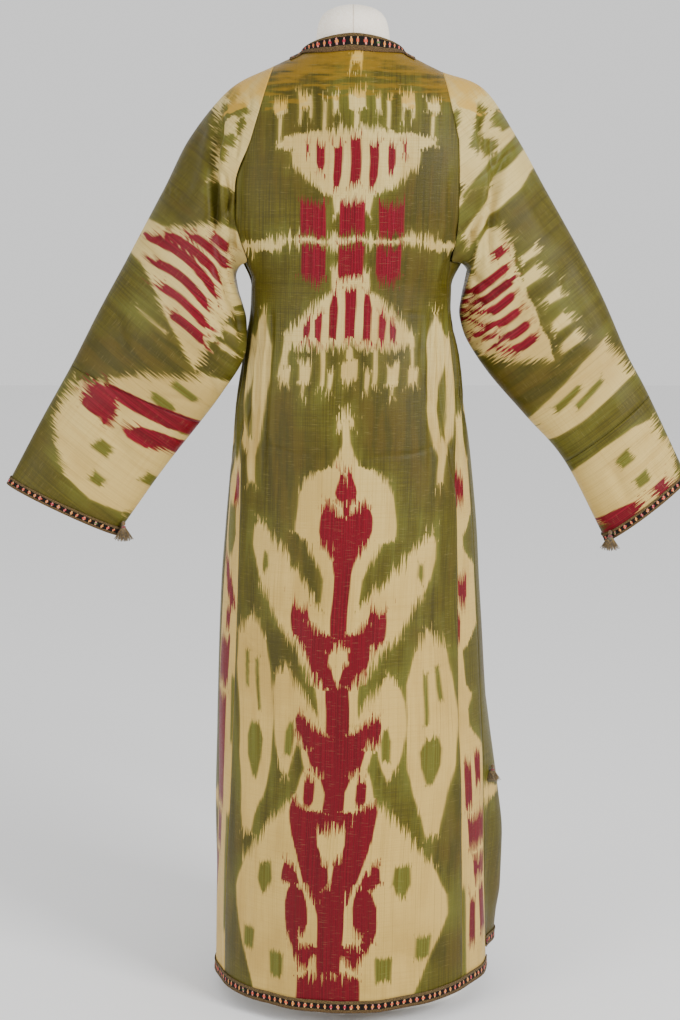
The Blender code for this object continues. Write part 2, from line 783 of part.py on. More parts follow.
def section_point(section, turn):
    """A point of a sleeve's section: turn 0 is the outer edge, 0.25 the back, 0.5 the inner edge."""
    angle = 2 * math.pi * turn
    outer = Vector((section.outer_x, 0.0, section.outer_z))
    inner = Vector((section.inner_x, section.inner_y, section.inner_z))
    across = (outer - inner) / 2 * math.cos(angle)
    return (outer + inner) / 2 + across - Vector((0.0, section.half_depth * math.sin(angle), 0.0))


def catmull(points, along):
    """A smooth curve through the points; along counts them."""
    i = int(clamp(math.floor(along), 0, len(points) - 2))
    t = along - i
    before = points[i - 1] if i else points[0] * 2 - points[1]
    after = points[i + 2] if i + 2 < len(points) else points[-1] * 2 - points[-2]
    a, b = points[i], points[i + 1]
    return 0.5 * (
        2 * a
        + (b - before) * t
        + (2 * before - 5 * a + 4 * b - after) * t * t
        + (3 * a - before - 3 * b + after) * t**3
    )


def trough_depth(along, turn):
    """How far the sleeve's folds sink the cloth."""
    depth = 0.0
    for fold in SLEEVE_TROUGHS:
        run = fold.end_along - fold.start_along
        share = clamp((along - fold.start_along) / run, 0.0, 1.0)
        centre = mix(fold.start_turn, fold.end_turn, share)
        beside = (turn - centre) * SLEEVE_GIRTH / fold.width
        past = (along - mix(fold.start_along, fold.end_along, share)) / TROUGH_RUN_OUT
        ends = mix(TROUGH_END_SHARE, 1.0, math.sin(math.pi * share))
        depth += fold.depth * ends * math.exp(-(beside**2) - past**2)
    return depth


def sleeve_stations(sections, join):
    """The sleeve's rows: every half section, the join between its two widths, and the cuff's braid."""
    end = len(sections)
    last = Vector((sections[-1].outer_x, 0, sections[-1].outer_z))
    before = Vector((sections[-2].outer_x, 0, sections[-2].outer_z))
    trim = CUFF_TRIM / (last - before).length
    upper = [0.0, 0.6, *[step / 2 for step in range(2, 2 * join + 1)]]
    lower = [float(join), *[step / 2 for step in range(2 * join + 1, 2 * end) if step / 2 < end - trim]]
    return upper, [*lower, end - trim, float(end)]


def sleeve(side, label, sections, join, silk, braid):
    """Two widths of cloth joined into a tube, and the cuff's braid."""
    loop = armhole_loop(side)
    shares = turns(loop, BACK_ARMHOLE_ROWS + len(GORE_SHARES) - 2)
    start = [point + Vector((side * SEAM_GAP, 0, 0)) for point in loop]
    tracks = [
        [start[i], *[section_point(section, share) for section in sections]]
        for i, share in enumerate(shares)
    ]
    upper, lower = sleeve_stations(sections, join)
    stations = [*upper, *lower[1:]]
    grid = [[catmull(track, along) for track in tracks] for along in stations]
    facing = grid_normals(grid, side)
    for row, along in enumerate(stations):
        for column, share in enumerate(shares):
            sunk = trough_depth(along, share) * ease(along / SMOOTH_START)
            grid[row][column] = grid[row][column] - facing[row][column] * sunk
    split = len(upper) - 1
    pieces = [
        (f"sleeve_upper_{label}", range(0, split + 1), 0.0),
        (f"sleeve_lower_{label}", range(split, len(stations)), SEAM_GAP),
    ]
    for name, rows, gap in pieces:
        outer = [[point.copy() for point in grid[row]] for row in rows]
        if gap:
            outer[0] = [p + (q - p).normalized() * gap for p, q in zip(outer[0], outer[1])]
        inner = [
            [point - facing[row][column] * WALL for column, point in enumerate(outer[k])]
            for k, row in enumerate(rows)
        ]
        wall(name, outer, inner, silk, closed=True)
    cuff_rows = [len(stations) - 2, len(stations) - 1]
    low, high = TRIM_GAP, TRIM_GAP + TRIM_WALL
    layers = [
        [[grid[row][c] + facing[row][c] * lift for c in range(len(shares))] for row in cuff_rows]
        for lift in (high, low)
    ]
    wall(f"cuff_trim_{label}", layers[0], layers[1], braid, closed=True)


def grid_normals(grid, side):
    """Outward directions at each point of a closed tube's grid."""
    rows, columns = len(grid), len(grid[0])
    facing = []
    for row in range(rows):
        above, below = grid[max(row - 1, 0)], grid[min(row + 1, rows - 1)]
        line = []
        for column in range(columns):
            around = grid[row][(column + 1) % columns] - grid[row][column - 1]
            along = below[column] - above[column]
            line.append((around.cross(along) * side).normalized())
        facing.append(line)
    return [
        [(line[i - 1] + line[i] * 2 + line[(i + 1) % columns]).normalized() for i in range(columns)]
        for line in facing
    ]


# Tassels


def tassel(plan, thread_material):
    """A bound head with strands drawn out of its lower faces."""
    shell = bmesh.new()
    bmesh.ops.create_uvsphere(shell, u_segments=8, v_segments=5, radius=plan.radius)
    shell.faces.ensure_lookup_table()
    low = [face for face in shell.faces if face.calc_center_median().z < -0.4 * plan.radius]
    bmesh.ops.inset_individual(shell, faces=low, thickness=plan.radius * TASSEL_INSET_SHARE)
    tips = low
    for step, (spread, taper) in enumerate(TASSEL_STEPS):
        tips = bmesh.ops.extrude_discrete_faces(shell, faces=tips)["faces"]
        for number, face in enumerate(tips):
            centre = face.calc_center_median()
            uneven = 1.0 + TASSEL_UNEVEN_SHARE * math.sin(TASSEL_UNEVEN_STEP * number)
            hung_from = centre.z if step else -plan.radius
            drop = hung_from - plan.length * uneven / len(TASSEL_STEPS) - centre.z
            shift = Vector((centre.x * spread, centre.y * spread, drop))
            for vert in face.verts:
                flat = Vector((vert.co.x - centre.x, vert.co.y - centre.y, 0)) * taper
                vert.co = centre + flat + shift
    bmesh.ops.translate(shell, verts=shell.verts, vec=(plan.x, plan.y, plan.z))
    bmesh.ops.recalc_face_normals(shell, faces=shell.faces)
    finished(plan.name, shell, thread_material)


# Dress form and stand


def oval_point(ring, turn):
    """A ring's point; turn 0 is the back's middle and a quarter is the +X side."""
    angle = 2 * math.pi * turn
    power = 2 / ring.squareness
    across = math.copysign(abs(math.sin(angle)) ** power, math.sin(angle))
    depth = ring.back_depth if math.cos(angle) > 0 else ring.front_depth
    deep = math.copysign(abs(math.cos(angle)) ** power, math.cos(angle)) * depth
    return Vector((ring.centre + ring.half_width * across, -deep, ring.height))


def shoulder_point(shoulder, turn):
    """A point of the form's shoulders: the robe's surface, moved in."""
    height = shoulder.height
    ring = Ring(height, *[read("body", column, height) for column in Ring._fields[1:]])
    seen = oval_point(ring, turn)
    around = around_at(height, seen.x, front=seen.y > 0)
    return skin(around, height, -shoulder.inset)


def dress_form(linen):
    """Its torso, then shoulders that follow the robe's inside, then the neck."""
    turns_around = [step / FORM_SPOKES for step in range(FORM_SPOKES)]
    rows = [[oval_point(ring, turn) for turn in turns_around] for ring in FORM]
    rows += [[shoulder_point(row, turn) for turn in turns_around] for row in FORM_SHOULDERS]
    rows += [[oval_point(ring, turn) for turn in turns_around] for ring in NECK]
    shell, row_of, column_of = open_grid(len(rows), FORM_SPOKES + 1)
    for vert in shell.verts:
        vert.co = rows[vert[row_of]][vert[column_of] % FORM_SPOKES]
    bmesh.ops.remove_doubles(shell, verts=shell.verts, dist=SAME_PLACE)
    rims = [edge for edge in shell.edges if edge.is_boundary]
    bmesh.ops.holes_fill(shell, edges=rims, sides=0)
    bmesh.ops.recalc_face_normals(shell, faces=shell.faces)
    finished("dress_form", shell, linen)


def pole(steel):
    low, high = PLATE_THICK + REST_GAP, FORM_BOTTOM - REST_GAP
    shell = bmesh.new()
    bmesh.ops.create_cone(
        shell,
        cap_ends=True,
        segments=POLE_SPOKES,
        radius1=POLE_RADIUS,
        radius2=POLE_RADIUS,
        depth=high - low,
    )
    bmesh.ops.translate(shell, verts=shell.verts, vec=(0, 0, (low + high) / 2))
    finished("stand_pole", shell, steel)


def plate(steel):
    """An oval foot plate with a softened top edge."""
    shell = bmesh.new()
    bmesh.ops.create_cone(
        shell, cap_ends=True, segments=PLATE_SPOKES, radius1=1.0, radius2=1.0, depth=PLATE_THICK
    )
    oval = Matrix.Diagonal((PLATE_HALF_WIDTH, PLATE_HALF_DEPTH, 1.0, 1.0))
    bmesh.ops.transform(shell, matrix=oval, verts=shell.verts)
    bmesh.ops.translate(shell, verts=shell.verts, vec=(0, 0, PLATE_THICK / 2))
    top = [
        edge
        for edge in shell.edges
        if all(vert.co.z > PLATE_THICK / 2 for vert in edge.verts)
    ]
    bmesh.ops.bevel(
        shell, geom=top, offset=PLATE_ROUNDING, segments=2, profile=0.5, affect="EDGES", material=-1
    )
    finished("stand_plate", shell, steel)


def tassels():
    """One at the inner corner of each cuff, and one beside the top of each side slit."""
    plans = list(CUFF_TASSELS)
    for label, side in SIDES.items():
        around = slit_line(side, SLIT_TOP) + side * SLIT_TASSEL_PAST_SLIT[label]
        strands = SLIT_TASSEL_HEIGHT - SLIT_TASSEL.radius - SLIT_TASSEL.length / 4
        out = flare_at(side, around, strands) + SLIT_TASSEL.radius + SLIT_TASSEL_CLEARANCE
        place = skin(around, SLIT_TASSEL_HEIGHT, out)
        plans.append(
            SLIT_TASSEL._replace(name=f"slit_tassel_{label}", x=place.x, y=place.y, z=place.z)
        )
    return plans


def clear_scene():
    for found in list(bpy.data.objects):
        bpy.data.objects.remove(found)


def build():
    silk = material("ikat_silk", (0.30, 0.29, 0.09), 0.55)
    braid = material("woven_braid", (0.12, 0.08, 0.06), 0.8)
    thread_material = material("tassel_thread", (0.33, 0.24, 0.13), 0.8)
    linen = material("form_cloth", (0.80, 0.72, 0.60), 0.85)
    steel = material("stand_steel", (0.35, 0.35, 0.36), 0.4, metallic=1.0)
    back_panel(silk)
    neck_trim(braid)
    hem_trim_back(braid)
    for label in SIDES:
        front_panel(label, silk)
        back_gore(label, silk)
        front_gore(label, silk)
        front_trim(label, braid)
        hem_trim_front(label, braid)
    sleeve(-1, "left", LEFT_SLEEVE, LEFT_JOIN, silk, braid)
    sleeve(1, "right", RIGHT_SLEEVE, RIGHT_JOIN, silk, braid)
    for plan in tassels():
        tassel(plan, thread_material)
    dress_form(linen)
    pole(steel)
    plate(steel)


clear_scene()
ROBE = bpy.data.collections.new("uzbek_robe")
bpy.context.scene.collection.children.link(ROBE)
build()
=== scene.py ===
# %% [markdown]
# # An ikat robe on a dress form
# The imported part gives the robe's form and its sizes. This script dresses it: each panel becomes a thin
# sheet of finer cloth on the same surface, with its creases, its dyed pattern and its weave. The
# lesson goes from the frame to the cloth, the braid, the tassels, the form, and the light.

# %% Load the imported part
import math
from functools import lru_cache

import bmesh
import bpy
import numpy as np
from mathutils import Matrix, Vector


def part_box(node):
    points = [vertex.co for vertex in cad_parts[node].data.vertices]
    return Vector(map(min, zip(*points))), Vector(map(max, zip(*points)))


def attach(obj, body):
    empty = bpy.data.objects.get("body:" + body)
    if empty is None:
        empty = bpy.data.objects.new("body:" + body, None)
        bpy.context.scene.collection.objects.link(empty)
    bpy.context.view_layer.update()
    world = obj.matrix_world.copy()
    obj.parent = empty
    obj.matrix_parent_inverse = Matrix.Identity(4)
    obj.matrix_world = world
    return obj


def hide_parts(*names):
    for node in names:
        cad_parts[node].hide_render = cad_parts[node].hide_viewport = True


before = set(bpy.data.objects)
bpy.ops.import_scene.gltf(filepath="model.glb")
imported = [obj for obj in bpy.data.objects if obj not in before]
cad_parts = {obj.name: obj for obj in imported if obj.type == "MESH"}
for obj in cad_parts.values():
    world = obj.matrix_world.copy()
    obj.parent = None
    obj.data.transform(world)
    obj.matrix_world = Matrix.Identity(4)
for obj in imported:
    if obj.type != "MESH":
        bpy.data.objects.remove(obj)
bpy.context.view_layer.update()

# %% [markdown]
# ## The camera
# A picture of a garment on a stand is taken from chest height, a few metres away, a little downwards.
# The long lens keeps the hem and the collar at nearly the same scale.

# %% Place the camera
CAMERA_PLACE = (-0.0165, -2.62, 1.122)
CAMERA_DOWN = math.atan(310 / 1900)
LENS = 67.06

camera = bpy.data.objects.new("camera", bpy.data.cameras.new("camera"))
camera.data.lens = LENS
camera.data.sensor_width = 36.0
camera.location = CAMERA_PLACE
camera.rotation_euler = (math.pi / 2 - CAMERA_DOWN, 0.0, 0.0)
bpy.context.scene.collection.objects.link(camera)
bpy.context.scene.camera = camera

# %% [markdown]
# ## The robe's sizes
# The tables below are the robe's own: rings of its body, the seams between its panels, and sections of
# its sleeves, all in metres. Each first column is a height. A smooth curve through each column gives
# the size at any height, so the cloth here lies on the same surface as the solid it stands for.

# %% Tables of the body
SEAM_GAP = 0.0004
HEM_TRIM, HEM_RISE, NECK_TRIM, CUFF_TRIM = 0.017, 0.012, 0.016, 0.012
HEM, FRONT_HEM, UNDERARM = 0.024, 0.064, 1.040
BACK_YOKE, FRONT_YOKE, NAPE, NECK_SIDE_HEIGHT = 1.200, 1.160, 1.339, 1.3185
NECK_SIDE, NECK_CORNER, RIDGE_SEAM = 0.068, 0.083, 1.300
NECK_SHARE, CORNER_SHARE, FRONT_TRIM_SHARE, PANEL_OF_HEM = 0.56, 0.66, 0.10, 0.65
FLARE_RISE, FLARE_SPREAD = 0.045, 0.110

TABLES = {
    # height, middle, half width, depth to the back, depth to the front, squareness
    "body": [
        (0.020, 0.001, 0.1960, 0.166, 0.158, 2.00),
        (0.100, 0.001, 0.1945, 0.162, 0.154, 2.00),
        (0.200, 0.001, 0.1930, 0.156, 0.149, 2.00),
        (0.330, 0.002, 0.1935, 0.149, 0.143, 2.00),
        (0.490, -0.001, 0.1875, 0.140, 0.135, 2.00),
        (0.600, -0.002, 0.1810, 0.134, 0.130, 2.02),
        (0.680, -0.001, 0.1750, 0.129, 0.126, 2.05),
        (0.770, -0.001, 0.1660, 0.123, 0.121, 2.08),
        (0.850, -0.003, 0.1570, 0.117, 0.117, 2.10),
        (0.910, -0.002, 0.1480, 0.111, 0.113, 2.10),
        (0.965, -0.002, 0.1375, 0.104, 0.110, 2.10),
        (1.005, -0.001, 0.1370, 0.103, 0.112, 2.10),
        (1.040, 0.000, 0.1510, 0.107, 0.115, 2.15),
        (1.075, 0.000, 0.1730, 0.110, 0.116, 2.25),
        (1.110, 0.000, 0.1860, 0.112, 0.115, 2.35),
        (1.160, 0.000, 0.1920, 0.110, 0.109, 2.40),
        (1.200, 0.000, 0.1900, 0.104, 0.100, 2.35),
        (1.235, 0.000, 0.1840, 0.094, 0.087, 2.25),
        (1.260, -0.001, 0.1740, 0.084, 0.075, 2.15),
        (1.285, -0.001, 0.1350, 0.072, 0.063, 2.05),
        (1.305, 0.000, 0.0940, 0.061, 0.055, 2.00),
        (1.3185, 0.001, 0.0680, 0.0560, 0.0520, 2.00),
        (1.345, 0.001, 0.0580, 0.0555, 0.0520, 2.00),
    ],
    # height, the back's middle thread around from the ring's middle
    "thread": [
        (0.020, -0.0350), (0.200, -0.0320), (0.320, -0.0265), (0.510, -0.0180), (0.690, -0.0090),
        (0.970, -0.0020), (1.120, 0.0010), (1.200, 0.0040), (1.340, 0.0080),
    ],
    # height, x of the back panel's left side, x of its right side
    "back_sides": [
        (0.020, -0.1815, 0.1560), (0.140, -0.1780, 0.1540), (0.300, -0.1690, 0.1515),
        (0.440, -0.1625, 0.1460), (0.600, -0.1560, 0.1440), (0.780, -0.1505, 0.1400),
        (0.900, -0.1410, 0.1350), (0.965, -0.1330, 0.1300), (1.005, -0.1330, 0.1300),
        (1.040, -0.1405, 0.1325), (1.070, -0.1500, 0.1380), (1.100, -0.1560, 0.1405),
        (1.140, -0.1550, 0.1410), (1.200, -0.1340, 0.1400), (1.250, -0.1155, 0.1295),
        (1.310, -0.1020, 0.1180),
    ],
    # height, width of a back gore, width of a front panel
    "widths": [
        (0.020, 0.090, 0.180), (0.140, 0.067, 0.180), (0.300, 0.055, 0.180), (0.440, 0.052, 0.178),
        (0.600, 0.045, 0.172), (0.780, 0.036, 0.162), (0.900, 0.027, 0.156), (0.965, 0.020, 0.150),
        (1.040, 0.020, 0.144),
    ],
    # height, x of the front armhole, distance of the left and of the right free edge from the middle
    "front": [
        (0.020, 0.134, 0.0080, 0.0320), (0.500, 0.134, 0.0120, 0.0220), (1.000, 0.134, 0.0130, 0.0130),
        (1.040, 0.134, 0.0130, 0.0130), (1.150, 0.133, 0.0140, 0.0140), (1.190, 0.129, 0.0180, 0.0180),
        (1.230, 0.121, 0.0300, 0.0300), (1.270, 0.113, 0.0470, 0.0470), (1.3185, 0.110, 0.068, 0.068),
    ],
    # height, how far the left and the right front gore stand off beside the slit
    "flares": [
        (0.060, 0.0060, 0.0120), (0.107, 0.0060, 0.0166), (0.150, 0.0060, 0.0240),
        (0.225, 0.0050, 0.0265), (0.300, 0.0030, 0.0165), (0.345, 0.0010, 0.0090),
        (0.380, 0.0000, 0.0045), (0.430, 0.0000, 0.0000),
    ],
}
# Gathers: top, full, fade, bottom, first share, share between pleats, depth
GATHERS = (0.985, 0.945, 0.860, 0.720, 0.66, 0.113, 0.0024)

# %% Curves through the tables


def clamp(value, low, high):
    return max(low, min(high, value))


def mix(a, b, share):
    return a + (b - a) * share


def ease(value):
    """0 to 1 with a soft start and end."""
    t = np.clip(value, 0.0, 1.0)
    return t * t * (3 - 2 * t)


@lru_cache(maxsize=None)
def column_curve(table, column):
    at = [row[0] for row in TABLES[table]]
    values = [row[column] for row in TABLES[table]]
    steps = [(values[i + 1] - values[i]) / (at[i + 1] - at[i]) for i in range(len(at) - 1)]
    inner = [0.0 if a * b <= 0 else 2 * a * b / (a + b) for a, b in zip(steps, steps[1:])]
    return at, values, [steps[0], *inner, steps[-1]]


@lru_cache(maxsize=None)
def read(table, column, height):
    """A table's column at any height, by a curve that never overshoots its rows."""
    at, values, bends = column_curve(table, column)
    where = clamp(height, at[0], at[-1])
    i = next((k for k in range(len(at) - 2) if where <= at[k + 1]), len(at) - 2)
    step = at[i + 1] - at[i]
    t = (where - at[i]) / step
    start = (2 * t**3 - 3 * t**2 + 1) * values[i] + (t**3 - 2 * t**2 + t) * step * bends[i]
    end = (3 * t**2 - 2 * t**3) * values[i + 1] + (t**3 - t**2) * step * bends[i + 1]
    return start + end


# %% [markdown]
# ## One surface for the whole body
# A point of the body is named by its height and by its distance around the ring at that height, from
# the middle of the back. Every panel is a grid of such points, so panels meet exactly at their seams.

# %% Rings, seams and panel places
RING_STEPS = 240
HALF = RING_STEPS // 2
RING_TURNS = np.pi * np.arange(RING_STEPS + 1) / RING_STEPS


@lru_cache(maxsize=None)
def half_ring(height):
    """Half of the ring, back middle to front middle: its middle, widths, depths, distances."""
    centre, half_width, back, front, squareness = (read("body", k, height) for k in range(1, 6))
    power = 2 / squareness
    widths = half_width * np.abs(np.sin(RING_TURNS)) ** power
    reach = np.where(RING_TURNS < math.pi / 2, -back, front)
    depths = reach * np.abs(np.cos(RING_TURNS)) ** power
    steps = np.hypot(np.diff(widths), np.diff(depths))
    return centre, widths, depths, np.concatenate([[0.0], np.cumsum(steps)])


def to_ridge(height):
    return half_ring(height)[3][HALF]


def around_at(height, x, front=False):
    """Distance around of the ring's point at x, on its back or its front."""
    centre, widths, _, distances = half_ring(height)
    across = abs(x - centre)
    if front:
        far = np.interp(across, widths[HALF:][::-1], distances[HALF:][::-1])
    else:
        far = np.interp(across, widths[: HALF + 1], distances[: HALF + 1])
    return math.copysign(far, x - centre)


def x_at(height, around):
    centre, widths, _, distances = half_ring(height)
    return centre + math.copysign(np.interp(abs(around), distances, widths), around)


def thread(height):
    return read("thread", 1, height)


def side_column(side):
    return 2 if side > 0 else 1


@lru_cache(maxsize=None)
def back_seam(side, height):
    return around_at(height, read("back_sides", side_column(side), height))


@lru_cache(maxsize=None)
def slit_line(side, height):
    beside = back_seam(side, height) + side * read("widths", 1, height)
    return mix(beside, side * to_ridge(height), float(ease((height - 0.930) / (UNDERARM - 0.930))))


@lru_cache(maxsize=None)
def front_edge(side, height):
    reach = read("body", 1, height) + side * read("front", 1 + side_column(side), height)
    return around_at(height, reach, front=True)


@lru_cache(maxsize=None)
def front_seam(side, height):
    armhole = around_at(height, read("body", 1, height) + side * read("front", 1, height), front=True)
    if height >= UNDERARM:
        return armhole
    hanging = front_edge(side, height) - side * read("widths", 2, height)
    return mix(hanging, armhole, float(ease((height - 0.960) / (UNDERARM - 0.960))))


@lru_cache(maxsize=None)
def ridge_height(x):
    """Height of the shoulder ridge at x."""
    low, high = BACK_YOKE, NECK_SIDE_HEIGHT
    side = math.copysign(1, x)
    for _ in range(30):
        middle = (low + high) / 2
        reach = side * read("body", 1, middle) + read("body", 2, middle)
        low, high = (middle, high) if reach > abs(x) else (low, middle)
    return (low + high) / 2


def drop_from_top(top, floor, share, ridge_share):
    return top - (top - floor) * share ** mix(1.3, 2.3, clamp(ridge_share, 0.0, 1.0) ** 3)


@lru_cache(maxsize=None)
def back_top(share):
    """x and height of the back panel's top edge: the neckline, then the shoulder ridge."""
    side = math.copysign(1, share)
    far = abs(share)
    if far <= NECK_SHARE:
        part = far / NECK_SHARE
        height = NAPE - (NAPE - NECK_SIDE_HEIGHT) * part**1.6
        return x_at(height, side * part * to_ridge(height)), height
    if far <= CORNER_SHARE:
        x = side * mix(NECK_SIDE, NECK_CORNER, (far - NECK_SHARE) / (CORNER_SHARE - NECK_SHARE))
    else:
        end = read("back_sides", side_column(side), RIDGE_SEAM)
        x = mix(side * NECK_CORNER, end, (far - CORNER_SHARE) / (1 - CORNER_SHARE))
    return x, ridge_height(x)


def hem_rise(side, way):
    return HEM_RISE * float(ease(way)) if side > 0 else 0.0


@lru_cache(maxsize=None)
def back_level(share, height):
    side = math.copysign(1, share)
    seam = back_seam(side, height) - side * SEAM_GAP / 2
    return mix(thread(height), seam, abs(share))


def back_place(share, row):
    """(around, height) of a point of the back panel. A row is a kind and a value."""
    kind, value = row
    side = math.copysign(1, share)
    if kind == "low":
        value = mix(LOWEST_LEVEL, HEM + hem_rise(side, abs(share) * PANEL_OF_HEM), value)
    if kind == "trim":
        value = HEM + hem_rise(side, abs(share) * PANEL_OF_HEM) + HEM_TRIM * (1 - value)
    if kind != "yoke":
        return back_level(share, value), value
    top_x, top = back_top(share)
    height = drop_from_top(top, BACK_YOKE, value, abs(share) / NECK_SHARE)
    low_x = x_at(BACK_YOKE, back_level(share, BACK_YOKE))
    x = mix(top_x, low_x, (top - height) / (top - BACK_YOKE))
    limit = to_ridge(height) - SEAM_GAP / 2
    return clamp(around_at(height, x), -limit, limit), height


@lru_cache(maxsize=None)
def front_level(side, share, height):
    edge, seam = front_edge(side, height), front_seam(side, height) + side * SEAM_GAP / 2
    if share <= FRONT_TRIM_SHARE:
        reach = NECK_TRIM * share / FRONT_TRIM_SHARE
    else:
        reach = mix(NECK_TRIM, abs(seam - edge), (share - FRONT_TRIM_SHARE) / (1 - FRONT_TRIM_SHARE))
    return edge - side * reach


def front_place(side, share, row):
    """(around, height) of a front panel's point; share is 0 at the free edge."""
    kind, value = row
    if kind == "low":
        value = mix(LOWEST_LEVEL, FRONT_HEM, value)
    if kind == "trim":
        value = FRONT_HEM + HEM_TRIM * (1 - value)
    if kind != "yoke":
        return front_level(side, share, value), value
    end = side * read("back_sides", side_column(side), RIDGE_SEAM)
    if share <= FRONT_TRIM_SHARE:
        across = mix(NECK_SIDE, NECK_CORNER, share / FRONT_TRIM_SHARE)
    else:
        across = mix(NECK_CORNER, end, (share - FRONT_TRIM_SHARE) / (1 - FRONT_TRIM_SHARE))
    top = ridge_height(side * across)
    height = drop_from_top(top, FRONT_YOKE, value, 1.0)
    down = (top - height) / (top - FRONT_YOKE)
    edge_x = read("front", 1 + side_column(side), mix(NECK_SIDE_HEIGHT, FRONT_YOKE, down))
    low = x_at(FRONT_YOKE, front_level(side, share, FRONT_YOKE))
    low_edge = x_at(FRONT_YOKE, front_level(side, 0.0, FRONT_YOKE))
    x = side * (edge_x + mix(across - NECK_SIDE, abs(low - low_edge), down))
    limit = to_ridge(height) + SEAM_GAP / 2
    return side * max(abs(around_at(height, x, front=True)), limit), height


def gore_place(side, share, row, front):
    """(around, height) of a gore's point; share is 0 at the seam nearer the back."""
    kind, height = row
    hem = FRONT_HEM if front else HEM + hem_rise(side, mix(PANEL_OF_HEM, 1.0, share))
    if kind == "low":
        height = mix(LOWEST_LEVEL, hem, height)
    if kind == "trim":
        height = hem + HEM_TRIM * (1 - height)
    half_gap = side * SEAM_GAP / 2
    if front:
        start, end = slit_line(side, height) + half_gap, front_seam(side, height) - half_gap
    else:
        start, end = back_seam(side, height) + half_gap, slit_line(side, height) - half_gap
    return mix(start, end, share), height


# %% [markdown]
# A robe has tens of thousands of cloth points here, so the surface is worked out once on a regular
# table of heights and distances, and every point then reads it with numpy, many at a time.

# %% The surface as a table
LEVEL_STEP, REACH_STEP, NEAR = 0.001, 0.002, 0.0015
LOWEST_LEVEL = 0.100
LEVELS = np.arange(0.018, 1.3455, LEVEL_STEP)
REACHES = np.arange(0.0, 0.60, REACH_STEP)
SEAM_LEVELS = LEVELS[::4]

level_rings = [half_ring(float(height)) for height in LEVELS]
WIDTH_TABLE = np.array([np.interp(REACHES, ring[3], ring[1]) for ring in level_rings])
DEPTH_TABLE = np.array([np.interp(REACHES, ring[3], ring[2]) for ring in level_rings])
MIDDLE_TABLE = np.array([ring[0] for ring in level_rings])
THREADS = np.array([thread(float(height)) for height in SEAM_LEVELS])
SEAMS = {side: np.array([back_seam(side, float(h)) for h in SEAM_LEVELS]) for side in (-1, 1)}
SLITS = {side: np.array([slit_line(side, float(h)) for h in SEAM_LEVELS]) for side in (-1, 1)}
LIFTS = {
    side: np.array([read("flares", side_column(side), float(h)) for h in SEAM_LEVELS])
    for side in (-1, 1)
}


def look_up(table, around, height):
    row = np.clip((height - LEVELS[0]) / LEVEL_STEP, 0, len(LEVELS) - 1.001)
    column = np.clip(np.abs(around) / REACH_STEP, 0, len(REACHES) - 1.001)
    r, c = row.astype(int), column.astype(int)
    down, over = row - r, column - c
    upper = table[r, c] * (1 - over) + table[r, c + 1] * over
    lower = table[r + 1, c] * (1 - over) + table[r + 1, c + 1] * over
    return upper * (1 - down) + lower * down


def bare(around, height):
    """Points of the smooth surface."""
    middle = np.interp(height, LEVELS, MIDDLE_TABLE)
    x = middle + np.sign(around) * look_up(WIDTH_TABLE, around, height)
    return np.stack([x, look_up(DEPTH_TABLE, around, height), height], axis=-1)


def unit(vectors):
    return vectors / np.maximum(np.linalg.norm(vectors, axis=-1, keepdims=True), 1e-9)


def outward(around, height):
    across = bare(around + NEAR, height) - bare(around - NEAR, height)
    upward = bare(around, height + NEAR) - bare(around, height - NEAR)
    return unit(np.cross(across, upward))


def gathered(around, height):
    """The pleats that run down from the waist at each side, as in the solids."""
    top, full, fade, bottom, first, pitch, depth = GATHERS
    strength = ease((top - height) / (top - full)) * ease((height - bottom) / (fade - bottom))
    from_thread = around - np.interp(height, SEAM_LEVELS, THREADS)
    seam = np.where(
        from_thread > 0,
        np.interp(height, SEAM_LEVELS, SEAMS[1]),
        np.interp(height, SEAM_LEVELS, SEAMS[-1]),
    )
    share = from_thread / (seam - np.interp(height, SEAM_LEVELS, THREADS))
    pleat = (share - first) / pitch
    return depth * strength * ease(pleat + 0.5) * ease((1.32 - share) / 0.12) * np.cos(2 * np.pi * pleat)


def flare_at(side, around, height):
    """The front gore's lift: it starts at the slit's edge and bulges a little past it."""
    past = np.abs(around) - np.abs(np.interp(height, SEAM_LEVELS, SLITS[side]))
    lift = np.interp(height, SEAM_LEVELS, LIFTS[side])
    return lift * ease(past / FLARE_RISE) * np.exp(-((past / FLARE_SPREAD) ** 2))


print("surface table:", WIDTH_TABLE.shape, "levels and reaches")

# %% [markdown]
# ## Creases
# Pressed folds and puckers are soft troughs along short lines. Their places are counted in a unit of
# 1.33 mm, called a bundle here, sideways from the robe's middle and down from above its collar. It is
# the size of one point of the picture at the robe's back, so places read off the picture can be written
# as they are. Each crease has its own width, in bundles, and depth, in millimetres; a negative
# depth is a ridge.

# %% Crease tables
BUNDLE = 0.00133
# height and the chart's row there, counted down the back
BACK_HEIGHTS = [0.02, 0.2, 0.4, 0.6, 0.8, 1.0, 1.1, 1.2, 1.25, 1.3, 1.339]
BACK_ROW_AT = [1016, 888, 743, 596, 446, 294, 217, 139, 100.6, 62.6, 32.6]
# the same for the sleeves, which hang nearer the body's middle plane
SLEEVE_HEIGHTS = [0.64, 0.8, 1.0, 1.2, 1.34]
SLEEVE_ROW_AT = [548, 435, 290, 141.6, 35.5]
BACK_SCALE, SLEEVE_SCALE = 752.0, 728.0

